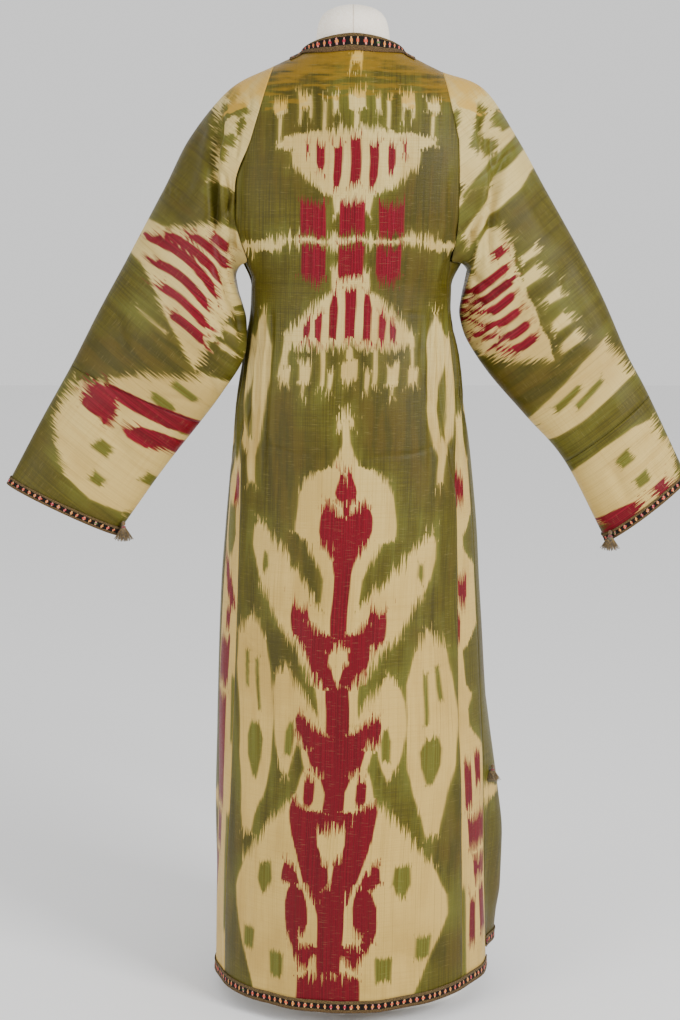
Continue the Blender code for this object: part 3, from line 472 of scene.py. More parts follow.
# from across, from row, to across, to row, width, depth
BODY_CREASES = [
    (-92, 445, -42, 456, 1.6, 1.1), (-42, 456, 31, 457, 1.6, 1.2), (31, 457, 92, 446, 1.6, 1.1),
    (50, 314, 97, 313, 1.5, 1.0), (-96, 331, -60, 334, 1.4, 0.5),
    (86, 322, 96, 450, 2.6, 2.4), (92, 320, 106, 470, 2.4, 2.2), (79, 324, 84, 420, 2.4, 1.6),
    (72, 326, 74, 392, 2.2, 1.0), (98, 330, 114, 520, 2.6, 1.8), (101, 318, 120, 430, 2.2, 1.6),
    (-104, 345, -109, 455, 2.6, 2.0), (-96, 340, -103, 430, 2.4, 1.9), (-89, 338, -94, 420, 2.2, 1.5),
    (-110, 350, -118, 520, 2.6, 1.8), (-82, 342, -84, 392, 2.2, 0.8),
    (-116, 246, -104, 286, 4.0, 2.2), (-110, 232, -98, 262, 3.0, 1.4), (-106, 150, -112, 222, 4.5, 1.6),
    (102, 250, 92, 292, 4.0, 2.0), (100, 170, 104, 240, 4.5, 1.6), (96, 232, 88, 262, 3.0, 1.2),
    (-114, 651, -90, 663, 1.5, 0.9), (-112, 668, -86, 671, 1.5, 0.8), (-110, 640, -96, 652, 1.4, 0.7),
    (-113, 676, -94, 686, 1.6, 0.6), (76, 668, 103, 677, 1.6, 0.9), (78, 680, 101, 667, 1.5, 0.8),
    (84, 660, 102, 655, 1.4, 0.5), (-74, 842, -115, 925, 2.0, 0.7), (48, 955, 92, 968, 1.6, 0.6),
    (-30, 52, 20, 60, 2.6, 0.6), (-64, 70, -24, 82, 2.6, 0.6), (28, 66, 74, 80, 2.6, 0.6),
    (-100, 560, -104, 640, 5.0, 1.2), (70, 520, 74, 640, 6.0, 1.0), (-52, 600, -58, 760, 8.0, 0.9),
    (22, 640, 30, 820, 9.0, 0.9), (104, 700, 110, 860, 6.0, 1.2), (-96, 800, -104, 980, 7.0, 1.2),
]
LEFT_CREASES = [
    (134, 100, 137, 165, 5.0, 4.6), (137, 165, 134, 232, 4.2, 4.6), (127, 165, 119, 215, 2.4, 2.4),
    (119, 215, 116, 252, 2.4, 2.2), (128, 140, 130, 215, 3.4, -1.8), (150, 110, 168, 200, 11.0, 2.6),
    (188, 187, 168, 201, 1.5, 0.9), (134, 226, 119, 231, 1.4, 0.9), (128, 233, 112, 246, 1.6, 1.4),
    (133, 262, 116, 300, 4.0, 2.6), (112, 292, 106, 332, 3.4, 3.0), (124, 346, 107, 354, 2.2, 1.6),
    (150, 300, 122, 330, 6.0, 1.8), (172, 330, 140, 372, 7.0, 1.6), (212, 308, 184, 327, 1.5, 0.7),
    (190, 392, 150, 402, 2.4, 0.9), (240, 300, 224, 352, 8.0, 1.4), (252, 410, 220, 470, 8.0, 1.6),
    (198, 430, 170, 500, 6.0, 1.5), (100, 88, 99, 118, 1.6, 0.9), (110, 118, 112, 160, 2.0, 1.2),
    (116, 180, 122, 214, 1.8, 1.4), (232, 460, 262, 452, 2.0, 0.6), (142, 372, 132, 398, 3.4, 1.4),
]
RIGHT_CREASES = [
    (124, 98, 126, 150, 2.2, 2.4), (128, 108, 121, 146, 2.0, 1.0), (153, 150, 136, 200, 3.0, 3.4),
    (136, 200, 114, 242, 3.0, 3.6), (146, 176, 134, 262, 2.6, 2.6), (140, 160, 122, 216, 4.2, -1.4),
    (117, 100, 140, 112, 1.3, 0.7), (140, 96, 126, 110, 1.3, 0.6), (106, 262, 126, 282, 3.2, 2.8),
    (126, 282, 150, 292, 3.0, 1.6), (108, 290, 132, 304, 2.8, 2.4), (114, 322, 138, 312, 2.8, 2.0),
    (118, 345, 134, 322, 3.0, 2.0), (134, 352, 150, 318, 3.2, 1.8), (110, 250, 118, 232, 2.6, 2.0),
    (148, 340, 170, 300, 4.4, 1.4), (168, 130, 204, 240, 10.0, 1.6), (206, 260, 240, 340, 9.0, 1.4),
    (190, 380, 236, 352, 6.0, 1.4), (168, 392, 202, 372, 4.0, 1.2), (222, 430, 262, 402, 6.0, 1.2),
    (258, 460, 280, 500, 6.0, 1.3), (296, 430, 306, 480, 5.0, 1.0), (232, 382, 246, 360, 1.8, 0.8),
]


def sunk(creases, across, row, strength=1.0):
    """How far the creases sink each point, in metres."""
    total = np.zeros_like(across)
    for x0, y0, x1, y1, width, depth in creases:
        dx, dy = x1 - x0, y1 - y0
        length = math.hypot(dx, dy)
        along = ((across - x0) * dx + (row - y0) * dy) / length
        beside = ((row - y0) * dx - (across - x0) * dy) / length
        bend = 0.06 * length * np.sin(np.pi * np.clip(along / length, 0, 1))
        q = (beside - bend) / width
        ends = ease(along / (0.3 * length) + 0.35) * ease((length - along) / (0.3 * length) + 0.35)
        total += depth * 0.001 * ends * (np.exp(-(q**2)) - 0.30 * q * np.exp(-(q**2) / 2))
    return total * strength


# %% [markdown]
# ## The dyed pattern
# Ikat is dyed before it is woven. The warp is tied in bundles, and each bundle takes its colour over
# some length of it, so a motif is a list of stretches: at this row, the colour lies between these two
# distances from the middle thread. The weaver's small errors shift the threads lengthwise, which
# gives the feathered ends. The rows and distances were read off the picture, in the unit above.
# The motifs are the usual ones of such cloth, and those of the back are the same on both sides of the
# middle thread: barred triangles, a crowned stem with branches and leaves, and a great circle.

# %% Chart of the body's cloth
# Each shape: 0 for both sides, or the side it is on; then rows of (row, inner, outer) in bundles
MIDDLE = -9
CREAM_SHAPES = [
    (0, [(50, MIDDLE, 2), (54, MIDDLE, 5), (61, MIDDLE, 6), (63, 3, 6), (70, 4, 6)]),
    (0, [(92, MIDDLE, 8), (110, MIDDLE, 8), (112, MIDDLE, 2.2), (132, MIDDLE, 2.4)]),
    (0, [(95, 18.6, 23.4), (110, 18.6, 23.4)]),
    (0, [(98, 29.5, 33), (133, 29.6, 32.8)]),
    (0, [(94, 44, 57), (108, 44, 57), (110, 53.5, 56.8), (121, 54.2, 56.6)]),
    (0, [(106, 44.2, 46.6), (121, 44.3, 46.3)]),
    (0, [(101, 69, 82), (111, 70, 82), (113, 73.6, 76.6), (138, 73.6, 76.4)]),
    (0, [(127, MIDDLE, 20), (131, MIDDLE, 40), (136, MIDDLE, 64), (139, MIDDLE, 78), (146, MIDDLE, 78),
         (150, MIDDLE, 64),
         (166, MIDDLE, 62), (175, MIDDLE, 52), (187, MIDDLE, 38), (195, MIDDLE, 20), (214, MIDDLE, 17)]),
    (0, [(236.5, MIDDLE, 66), (245.5, MIDDLE, 72)]),
    (0, [(238, 56, 82), (243, 62, 102), (249, 76, 112), (253, 98, 112)]),
    (0, [(271, MIDDLE, 18.5), (291, MIDDLE, 19), (300, MIDDLE, 32), (315, MIDDLE, 44), (328, MIDDLE, 55),
         (337, MIDDLE, 65), (349, MIDDLE, 66)]),
    (-1, [(343, 57, 65), (371, 66, 71), (378, 69, 72)]),
    (0, [(345, MIDDLE, 3), (361, MIDDLE, 3.5), (363, MIDDLE, 8), (377, MIDDLE, 8), (385, MIDDLE, 3)]),
    (0, [(371, 15.6, 21), (390, 17, 20)]),
    (0, [(346, 24, 28), (385, 24, 28)]),
    (0, [(365, 38, 50), (384, 39, 49), (386, 43, 46), (396, 44, 46)]),
    (0, [(343, 62, 65), (369, 62, 65), (371, 59, 69), (386, 60, 69)]),
    (0, [(412, MIDDLE, 2), (418, MIDDLE, 6.5), (423, 3.6, 8.6), (430, 5, 8.8)]),
    (0, [(418, MIDDLE, 3.2), (445, MIDDLE, 3.8), (456, MIDDLE, 8), (466, MIDDLE, 13), (470, MIDDLE, 30),
         (480, MIDDLE, 40), (495, MIDDLE, 47), (526, MIDDLE, 51), (538, MIDDLE, 51), (543, MIDDLE, 38),
         (556, MIDDLE, 30), (568, MIDDLE, 24), (580, MIDDLE, 19.5), (612, MIDDLE, 18.5),
         (700, MIDDLE, 18)]),
    (0, [(314, 85, 88), (345, 79, 99), (385, 81, 95), (412, 82, 94), (443, 87, 99), (460, 93, 101),
         (488, 92, 99)]),
    (0, [(340, 97, 102), (378, 99, 109), (412, 103, 111), (440, 102, 109), (458, 97, 104)]),
    (0, [(529, 84, 88), (540, 76, 93), (555, 64, 93), (575, 48, 89), (593, 31, 82), (607, 20, 74),
         (615, 8, 70), (635, 4, 60), (645, 4, 50), (658, 4, 41), (674, MIDDLE, 30.5), (686, MIDDLE, 22),
         (700, MIDDLE, 20.5), (728, MIDDLE, 20)]),
    (0, [(675, 52, 57), (684, 43, 63), (698, 33, 66), (712, 23, 67), (726, 18, 67), (741, 40, 66),
         (756, 43, 64), (768, 46, 60), (780, 50, 54)]),
    (0, [(722, MIDDLE, 44), (741, MIDDLE, 46), (750, MIDDLE, 37), (769, MIDDLE, 32), (780, MIDDLE, 36),
         (797, MIDDLE, 40), (806, MIDDLE, 46), (820, MIDDLE, 60), (845, MIDDLE, 80), (876, MIDDLE, 98),
         (905, MIDDLE, 107), (925, MIDDLE, 107), (945, MIDDLE, 102), (975, MIDDLE, 91),
         (1020, MIDDLE, 76)]),
    (0, [(627, 88, 91), (635, 83, 97), (649, 76, 106), (682, 69, 110), (724, 68, 110), (770, 70, 109),
         (800, 77, 105), (822, 86, 103), (842, 90, 100)]),
]
GREEN_SHAPES = [
    (0, [(560, 77, 81), (573, 76, 82), (580, 79, 81)]),
    (0, [(665, 95, 99), (700, 96, 100)]),
    (0, [(670, 84, 88), (722, 83, 87)]),
    (0, [(735, 86, 95), (750, 80, 99), (768, 82, 98), (787, 87, 92)]),
    (0, [(727, 46, 50), (740, 44, 54), (762, 46, 54)]),
    (0, [(403, 95, 98), (420, 94, 104), (441, 96, 102)]),
    (0, [(870, 64, 78), (888, 62, 79), (902, 70, 74)]),
    (0, [(940, 83, 96), (962, 84, 95)]),
    (0, [(960, 47, 64), (984, 48, 63)]),
]
RED_SHAPES = [
    (0, [(137, MIDDLE, 5), (184, MIDDLE, 5)]),
    (0, [(144, 13, 22), (176, 13.5, 22), (188, 15, 19)]),
    (0, [(144, 31, 39), (162, 31, 39), (170, 32.5, 36.5)]),
    (0, [(143, 46.2, 49.4), (154, 46.4, 49)]),
    (0, [(202, MIDDLE, 12.5), (235, MIDDLE, 12.5)]),
    (0, [(203, 26, 51), (236, 26, 51)]),
    (0, [(245, MIDDLE, 12.5), (279, MIDDLE, 12)]),
    (0, [(245, 25, 50), (274, 25, 49), (283, 30, 44)]),
    (0, [(290, MIDDLE, 5.8), (342, MIDDLE, 5)]),
    (0, [(293, 14, 18), (308, 12.5, 21.5), (341, 13, 21)]),
    (0, [(312, 28, 32), (320, 28, 36), (341, 29, 35)]),
    (0, [(322, 39.5, 43), (330, 39.5, 46.5), (341, 41, 46)]),
    (0, [(472, 2.2, 4.8), (480, 0.6, 7), (493, MIDDLE, 10.8), (500, MIDDLE, 9), (507, MIDDLE, 3.6),
         (521, MIDDLE, 2.8)]),
    (0, [(502, 16, 19), (508, 12, 23.5), (516, 6, 26), (521, MIDDLE, 26.5), (530, MIDDLE, 26.5),
         (538, MIDDLE, 24.5), (550, MIDDLE, 17), (562, MIDDLE, 11.5), (577, MIDDLE, 8.6),
         (660, MIDDLE, 8.3)]),
    (0, [(609, 32, 48), (621, 29, 49), (634, 16, 48), (641, MIDDLE, 46), (646, MIDDLE, 38),
         (658, MIDDLE, 32), (672, MIDDLE, 26), (684, MIDDLE, 19), (690, MIDDLE, 12), (765, MIDDLE, 12)]),
    (0, [(716, 37, 41), (724, 26, 44), (734, 14, 43), (741, MIDDLE, 39), (750, MIDDLE, 30),
         (768, MIDDLE, 25), (778, MIDDLE, 16), (794, MIDDLE, 10.5), (832, MIDDLE, 11)]),
    (0, [(778, 24, 29), (785, 21, 32), (800, 21, 32), (808, 24, 29)]),
    (0, [(803, 38, 43), (811, 25, 45), (816, MIDDLE, 45), (827, MIDDLE, 43.5), (840, MIDDLE, 41),
         (858, MIDDLE, 35), (884, MIDDLE, 27), (906, MIDDLE, 15.5), (916, MIDDLE, 14),
         (953, MIDDLE, 13), (980, MIDDLE, 11.5)]),
    (0, [(866, 41, 48), (875, 34, 50), (886, 31, 51), (890, 28, 41), (898, 25, 44), (908, 23, 47),
         (925, 23, 47), (934, 27, 46), (940, 30, 44)]),
    (0, [(930, 35, 46), (940, 33, 43), (948, 12, 40), (956, 12, 36), (967, 22, 30)]),
    (0, [(975, MIDDLE, 20), (979, MIDDLE, 32), (1020, MIDDLE, 34)]),
]
RED_HOLES = [
    (0, [(648, MIDDLE, 3), (653, MIDDLE, 9.5), (662, MIDDLE, 10), (670, MIDDLE, 6), (685, MIDDLE, 1.6)]),
    (0, [(832, MIDDLE, 14.5), (846, MIDDLE, 14), (855, MIDDLE, 11), (863, MIDDLE, 7), (868, MIDDLE, 3.2),
         (884, MIDDLE, 1.4)]),
    (0, [(936, 22, 32), (946, 23, 31)]),
]

# %% Charts of the gores and sleeves
# A gore counts from its seam with the back, in hundredths of its width
GORE_CHARTS = {
    "left": {
        "cream": [(0, [(465, 0, 90), (700, 0, 100), (1020, 0, 100)])],
        "green": [(0, [(512, 30, 80), (545, 20, 80), (565, 40, 70)]), (0, [(396, 40, 100), (462, 30, 90)]),
                  (0, [(690, 0, 16), (760, 0, 12)]), (0, [(835, -5, 18), (960, -5, 14)])],
        "red": [(0, [(482, 5, 50), (512, 10, 45)]), (0, [(566, 70, 95), (590, 35, 78), (620, 5, 34)]),
                (0, [(618, 30, 62), (642, 40, 60)]), (0, [(650, 30, 90), (700, 35, 95)]),
                (0, [(712, 40, 100), (830, 40, 100)]), (0, [(835, 50, 92), (877, 55, 88)]),
                (0, [(885, 72, 100), (950, 80, 100)])],
    },
    "right": {
        "cream": [(0, [(420, 0, 60), (470, 0, 90), (522, 0, 95), (544, 0, 30), (556, 0, 30),
                       (578, 0, 95), (638, 0, 95), (662, 0, 20), (696, 0, 32), (706, 0, 60),
                       (720, 0, 40), (738, 0, 44), (764, 0, 96), (1020, 0, 100)])],
        "green": [(0, [(905, -5, 14), (1000, -5, 12)])],
        "red": [(0, [(483, 0, 45), (510, 0, 45)]), (0, [(583, 0, 45), (606, 2, 44), (619, 14, 34)]),
                (0, [(625, 0, 12), (650, 0, 10)]), (0, [(777, 14, 44), (825, 16, 46)]),
                (0, [(768, 58, 84), (805, 60, 82)]), (0, [(832, 24, 96), (866, 30, 94)]),
                (0, [(876, 44, 96), (903, 50, 88)]), (0, [(918, 30, 50), (965, 22, 42)]),
                (0, [(908, 64, 86), (960, 64, 90)])],
    },
}
FRONT_GORE_CHART = {
    "cream": [(0, [(812, 0, 8), (822, 0, 38), (831, 0, 12)]),
              (0, [(420, 34, 40), (470, 28, 62), (540, 32, 70), (600, 40, 58)]),
              (0, [(700, 50, 60), (760, 40, 84), (840, 38, 88), (900, 50, 76)])],
    "green": [(0, [(500, 44, 52), (540, 44, 54)]), (0, [(790, 58, 68), (830, 58, 70)])],
    "red": [(0, [(620, 66, 84), (680, 62, 88)]), (0, [(860, 60, 70), (900, 58, 68)])],
}
# A sleeve's warp runs round the arm, so its rows count inwards and down, across the arm,
# and its two distances count outwards and down along it
BAR_HALF, BAR_SAG, BAR_TURN = 4.5, 0.0042, 0.022


def bars(table, turns_at=200.0):
    """Red bars from (distance along, first row, last row); they sag, or turn up beyond a row."""
    shapes = []
    for at, first, last in table:
        rows = []
        middle, half = (first + last) / 2, (last - first) / 2
        for row in np.linspace(first, last, 9):
            sag = BAR_SAG * (half**2 - (row - middle) ** 2) if turns_at >= 200 else 0.0
            centre = at - sag - BAR_TURN * max(0.0, row - turns_at) ** 2
            wide = BAR_HALF * min(1.0, 0.35 + 3.2 * (1 - abs(row - middle) / half))
            rows.append((float(row), centre - wide, centre + wide))
        shapes.append((0, rows))
    return shapes


SLEEVE_CHARTS = {
    "left": {
        "cream": [
            (0, [(-32, 297, 331), (0, 290, 334), (15, 277, 341), (30, 262, 347), (45, 252, 356),
                 (60, 249, 362), (80, 246, 371), (96, 250, 378), (104, 356, 381)]),
            (0, [(100, 252, 258), (112, 253, 257)]), (0, [(94, 272, 280), (116, 273, 277)]),
            (0, [(94, 300, 304), (122, 299, 303)]), (0, [(96, 326, 333), (118, 327, 331)]),
            (0, [(112, 344, 350), (126, 345, 349)]), (0, [(98, 308, 318), (104, 309, 316)]),
            (0, [(48, 440, 450), (60, 426, 455), (80, 410, 460), (100, 395, 452), (120, 380, 446),
                 (150, 368, 440)]),
            (0, [(24, 371, 373.5), (58, 370, 372)]),
            (0, [(-60, 90, 150), (-40, 90, 168), (-20, 90, 192), (5, 90, 226), (27, 90, 221),
                 (34, 90, 212), (40, 120, 190)]),
            (0, [(20, 470, 506), (40, 450, 530), (70, 448, 548), (100, 446, 552), (135, 445, 545),
                 (160, 440, 528), (178, 430, 500)]),
        ],
        "green": [
            (0, [(-33, 158, 176), (-25, 152, 184), (-18, 146, 162), (-9, 149, 160)]),
            (0, [(-26, 172, 186), (-17, 181, 194), (-8, 189, 203), (3, 196, 206)]),
            (0, [(-9, 154, 167), (-1, 164, 180)]),
            (0, [(-14, 181, 188), (-7, 176, 191), (1, 180, 188)]),
            (0, [(-48, 122, 138), (-36, 130, 152), (-27, 140, 152)]),
            (0, [(96, 402, 410), (124, 404, 412)]), (0, [(86, 424, 432), (112, 424, 436)]),
            (0, [(72, 495, 509), (88, 496, 508)]), (0, [(86, 525, 537), (102, 526, 536)]),
            (0, [(130, 496, 508), (148, 496, 507)]),
        ],
        "red": bars([(269, 36, 61), (282.5, 16, 72), (298, -4, 77), (312.5, -20, 82), (327, 2, 86),
                     (341, 22, 90), (354, 52, 100)]) + [
            (0, [(31, 460, 470), (36, 455, 482), (48, 452, 483), (60, 449, 481), (68, 462, 485),
                 (74, 474, 481)]),
            (0, [(46, 448, 458), (70, 441, 455), (93, 435, 452), (120, 428, 448), (146, 422, 440)]),
            (0, [(83, 469, 475), (94, 462, 479), (115, 456, 478), (132, 452, 470), (151, 446, 461)]),
        ],
    },
    "right": {
        "cream": [
            (0, [(28, 268, 284), (40, 262, 312), (55, 266, 372), (63, 276, 404), (85, 288, 388),
                 (100, 300, 376), (114, 316, 362), (124, 330, 348)]),
            (0, [(12, 303, 311), (30, 304, 310)]), (0, [(22, 318, 332), (46, 320, 330)]),
            (0, [(18, 350, 361), (38, 350, 358)]), (0, [(26, 372, 386), (48, 374, 384)]),
            (0, [(28, 394, 407), (52, 396, 404)]),
            (0, [(12, 420, 466), (40, 424, 468), (80, 430, 470), (110, 436, 469), (124, 440, 465)]),
            (0, [(-78, 120, 160), (-60, 110, 186), (-46, 110, 230), (-34, 110, 236), (-18, 110, 236),
                 (0, 110, 234), (20, 120, 226), (32, 140, 212), (44, 160, 190)]),
            (0, [(-46, 224, 240), (-8, 229, 249), (27, 239, 253), (62, 250, 263)]),
            (0, [(26, 214, 219), (56, 224, 229)]),
            (0, [(24, 514, 556), (45, 507, 584), (80, 504, 596), (110, 506, 586), (134, 512, 560)]),
        ],
        "green": [
            (0, [(-52, 176, 190), (-42, 172, 196), (-30, 178, 194)]),
            (0, [(-52, 204, 220), (-24, 206, 223), (0, 210, 226), (24, 216, 236), (40, 220, 242)]),
            (0, [(-22, 192, 200), (-12, 187, 206), (-2, 192, 202)]),
            (0, [(-34, 156, 168), (-20, 166, 178), (-8, 176, 190), (2, 184, 196)]),
            (0, [(-10, 148, 156), (12, 158, 168)]),
            (0, [(40, 447, 453), (76, 451, 458)]), (0, [(60, 437, 443), (96, 441, 449)]),
            (0, [(60, 519, 532), (76, 520, 532)]), (0, [(58, 547, 559), (74, 548, 558)]),
        ],
        "red": bars([(286, 35, 52), (302, 40, 100), (315, 46, 110), (328, 54, 116), (343, 58, 120),
                     (359, 60, 112), (373, 62, 106)], turns_at=78.0) + [
            (0, [(84, 566, 590), (100, 562, 600), (126, 560, 600)]), (0, [(48, 566, 580), (66, 566, 580)]),
        ],
    },
}
BODY_CHART = {"cream": CREAM_SHAPES, "green": GREEN_SHAPES, "red": RED_SHAPES, "holes": RED_HOLES}
FAR = 40.0
LEAST_SLOPE, SLOPE_RANGE = 0.3, 0.4


def shape_field(rows, across, row):
    """How far inside a shape each point is, in bundles: negative outside."""
    at = [r[0] for r in rows]
    inner = np.interp(row, at, [r[1] for r in rows])
    outer = np.interp(row, at, [r[2] for r in rows])
    sides = np.minimum(across - inner, outer - across)
    return np.minimum(sides, np.minimum(row - at[0], at[-1] - row))


def colour_field(shapes, across, row):
    found = np.full(across.shape, -FAR)
    for side, rows in shapes:
        field = shape_field(rows, np.abs(across) if side == 0 else across * side, row)
        found = np.maximum(found, field)
    return found


def dye(chart, across, row):
    """The red, cream and green fields of each point, and how steeply each changes along the warp."""
    def fields(at_row):
        red = colour_field(chart["red"], across, at_row)
        if chart.get("holes"):
            red = np.minimum(red, -colour_field(chart["holes"], across, at_row))
        return np.stack([red, colour_field(chart["cream"], across, at_row),
                         colour_field(chart["green"], across, at_row)], axis=-1)

    here = fields(row)
    slope = np.abs(fields(row + 1.5) - fields(row - 1.5)) / 3.0
    # An edge that runs nearly along the warp stays sharp
    return np.clip(here, -FAR, FAR), ease((slope - LEAST_SLOPE) / SLOPE_RANGE)


# %% [markdown]
# ## Making a sheet
# Every sheet starts as a flat grid from bmesh. Its vertices then take their places on the robe, a UV
# map in metres of cloth is written, and the dye is stored as colour attributes, which the material
# reads. A Solidify modifier gives the cloth its thickness.

# %% The sheet maker
CLOTH_WALL = 0.0012
body = "root"
pieces = {}


def grid_mesh(name, rows, columns):
    """A flat grid, with each vertex's row and column."""
    shell = bmesh.new()
    bmesh.ops.create_grid(shell, x_segments=columns - 1, y_segments=rows - 1, size=0.5)
    mesh = bpy.data.meshes.new(name)
    shell.to_mesh(mesh)
    shell.free()
    flat = np.empty(len(mesh.vertices) * 3, np.float32)
    mesh.vertices.foreach_get("co", flat)
    flat = flat.reshape(-1, 3)
    row = np.rint((flat[:, 1] + 0.5) * (rows - 1)).astype(int)
    column = np.rint((flat[:, 0] + 0.5) * (columns - 1)).astype(int)
    return mesh, row, column


def sheet_piece(name, points, uv, facing, material, dyes=None, slopes=None, closed=False,
                wall=CLOTH_WALL, stain=None):
    """An object whose grid lies on points; facing is the outward direction at each."""
    rows, columns = points.shape[:2]
    mesh, row, column = grid_mesh(name, rows, columns)
    mesh.vertices.foreach_set("co", points[row, column].astype(np.float32).ravel())
    layer = mesh.uv_layers.new(name="cloth")
    corner = np.empty(len(mesh.loops), np.int32)
    mesh.loops.foreach_get("vertex_index", corner)
    layer.uv.foreach_set("vector", uv[row[corner], column[corner]].astype(np.float32).ravel())
    if dyes is not None:
        # Colour attributes hold the fields round a half, so that none is negative
        for label, values in (("dye", 0.5 + dyes / (2 * FAR)), ("run", slopes)):
            four = np.concatenate([values, np.zeros_like(values[..., :1])], axis=-1)
            if label == "run" and stain is not None:
                four[..., 3] = stain
            attribute = mesh.color_attributes.new(label, "FLOAT_COLOR", "POINT")
            attribute.data.foreach_set("color", four[row, column].astype(np.float32).ravel())
    mesh.update()
    normals = np.empty(len(mesh.vertices) * 3, np.float32)
    mesh.vertices.foreach_get("normal", normals)
    if (normals.reshape(-1, 3) * facing[row, column]).sum() < 0:
        mesh.flip_normals()
    if closed:
        tube = bmesh.new()
        tube.from_mesh(mesh)
        bmesh.ops.remove_doubles(tube, verts=tube.verts, dist=1e-6)
        tube.to_mesh(mesh)
        tube.free()
    mesh.materials.append(material)
    mesh.shade_smooth()
    made = bpy.data.objects.new(name, mesh)
    bpy.context.scene.collection.objects.link(made)
    if wall:
        thick = made.modifiers.new("thickness", "SOLIDIFY")
        thick.thickness = wall
        thick.offset = -1.0
    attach(made, body)
    pieces[name] = made
    return made


# %% [markdown]
# ## Shader maths in plain Python
# Materials are easier to read as formulas. This small class wraps a socket and adds a Math node for
# each sign, and `node` adds any other kind of node.

# %% A socket that can be added and multiplied


class Wire:
    def __init__(self, tree, socket):
        self.tree = tree
        self.socket = socket

    def maths(self, operation, *values):
        return node(self.tree, "ShaderNodeMath", {"operation": operation}, dict(enumerate(values)))

    def __add__(self, other):
        return self.maths("ADD", self, other)

    def __sub__(self, other):
        return self.maths("SUBTRACT", self, other)

    def __mul__(self, other):
        return self.maths("MULTIPLY", self, other)

    def __truediv__(self, other):
        return self.maths("DIVIDE", self, other)

    def __radd__(self, other):
        return self.maths("ADD", other, self)

    def __rsub__(self, other):
        return self.maths("SUBTRACT", other, self)

    def __rmul__(self, other):
        return self.maths("MULTIPLY", other, self)


def node(tree, kind, settings, inputs, output=0):
    """Any node: its kind, its settings, then the values or wires of its inputs."""
    made = tree.nodes.new(kind)
    for key, value in settings.items():
        if key == "stops":
            for number, (place, colour) in enumerate(value):
                ramp = made.color_ramp.elements
                stop = ramp[number] if number < len(ramp) else ramp.new(place)
                stop.position = place
                stop.color = colour
        else:
            setattr(made, key, value)
    for key, value in inputs.items():
        socket = made.inputs[key]
        if isinstance(value, Wire):
            tree.links.new(value.socket, socket)
        else:
            socket.default_value = value
    return Wire(tree, made.outputs[output])


def larger(a, b):
    return a.maths("MAXIMUM", a, b)


def absolute(value):
    return value.maths("ABSOLUTE", value)


def step(low, high, value):
    """0 below low, 1 above high, soft between."""
    return node(value.tree, "ShaderNodeMapRange", {"interpolation_type": "SMOOTHSTEP"},
                {"Value": value, "From Min": low, "From Max": high})


def blend(factor, under, over):
    """A colour mixed over another."""
    def as_colour(value):
        return value if isinstance(value, Wire) else (*value, 1.0)

    return node(factor.tree, "ShaderNodeMix", {"data_type": "RGBA"},
                {"Factor": factor, 6: as_colour(under), 7: as_colour(over)}, output=2)


def noise(x, y, detail=2.0, rough=0.5):
    place = node(x.tree, "ShaderNodeCombineXYZ", {}, {0: x, 1: y})
    return node(x.tree, "ShaderNodeTexNoise", {"noise_dimensions": "2D"},
                {"Vector": place, "Scale": 1.0, "Detail": detail, "Roughness": rough})


def split(vector):
    return [node(vector.tree, "ShaderNodeSeparateXYZ", {}, {0: vector}, output=k) for k in range(3)]


def hue(code):
    """A linear colour from its six-digit code."""
    parts = [int(code[k : k + 2], 16) / 255 for k in (0, 2, 4)]
    return tuple(p / 12.92 if p <= 0.04045 else ((p + 0.055) / 1.055) ** 2.4 for p in parts)


def new_material(name):
    made = bpy.data.materials.new(name)
    made.use_nodes = True
    tree = made.node_tree
    shader = tree.nodes["Principled BSDF"]
    return made, tree, shader


def connect(tree, shader, **wires):
    for key, wire in wires.items():
        tree.links.new(wire.socket, shader.inputs[key.replace("_", " ")])


def bump(tree, height, distance, strength=1.0):
    return node(tree, "ShaderNodeBump", {}, {"Strength": strength, "Distance": distance, "Height": height})


# %% [markdown]
# ## The silk
# Three things make this cloth: the dye with its feathered ends, the warp's fine streaks under a few
# thick weft threads, and a soft shine. The dye's fields come from the mesh. Noise that changes fast
# across the warp and slowly along it moves each edge, most where the edge crosses the warp.

# %% Ikat material
# Linear albedos, adjusted until the lit cloth came near the picture's tones, region by region
OLIVE, OLIVE_DARK, OLIVE_LIGHT = (0.092, 0.075, 0.004), (0.038, 0.030, 0.002), (0.120, 0.122, 0.018)
CREAM_TOP, CREAM_LOW, CREAM_SHADE = (0.570, 0.440, 0.160), (0.540, 0.360, 0.095), (0.370, 0.230, 0.052)
RED, RED_DARK, RED_LIGHT = (0.185, 0.001, 0.009), (0.090, 0.0005, 0.004), (0.240, 0.006, 0.030)
OCHRE, OCHRE_PALE = (0.215, 0.118, 0.004), (0.500, 0.285, 0.032)
BROWN_EDGE, PALE_WEFT, DARK_THREAD = (0.150, 0.125, 0.016), (0.480, 0.380, 0.150), (0.026, 0.019, 0.002)
BROWN = (0.070, 0.042, 0.003)


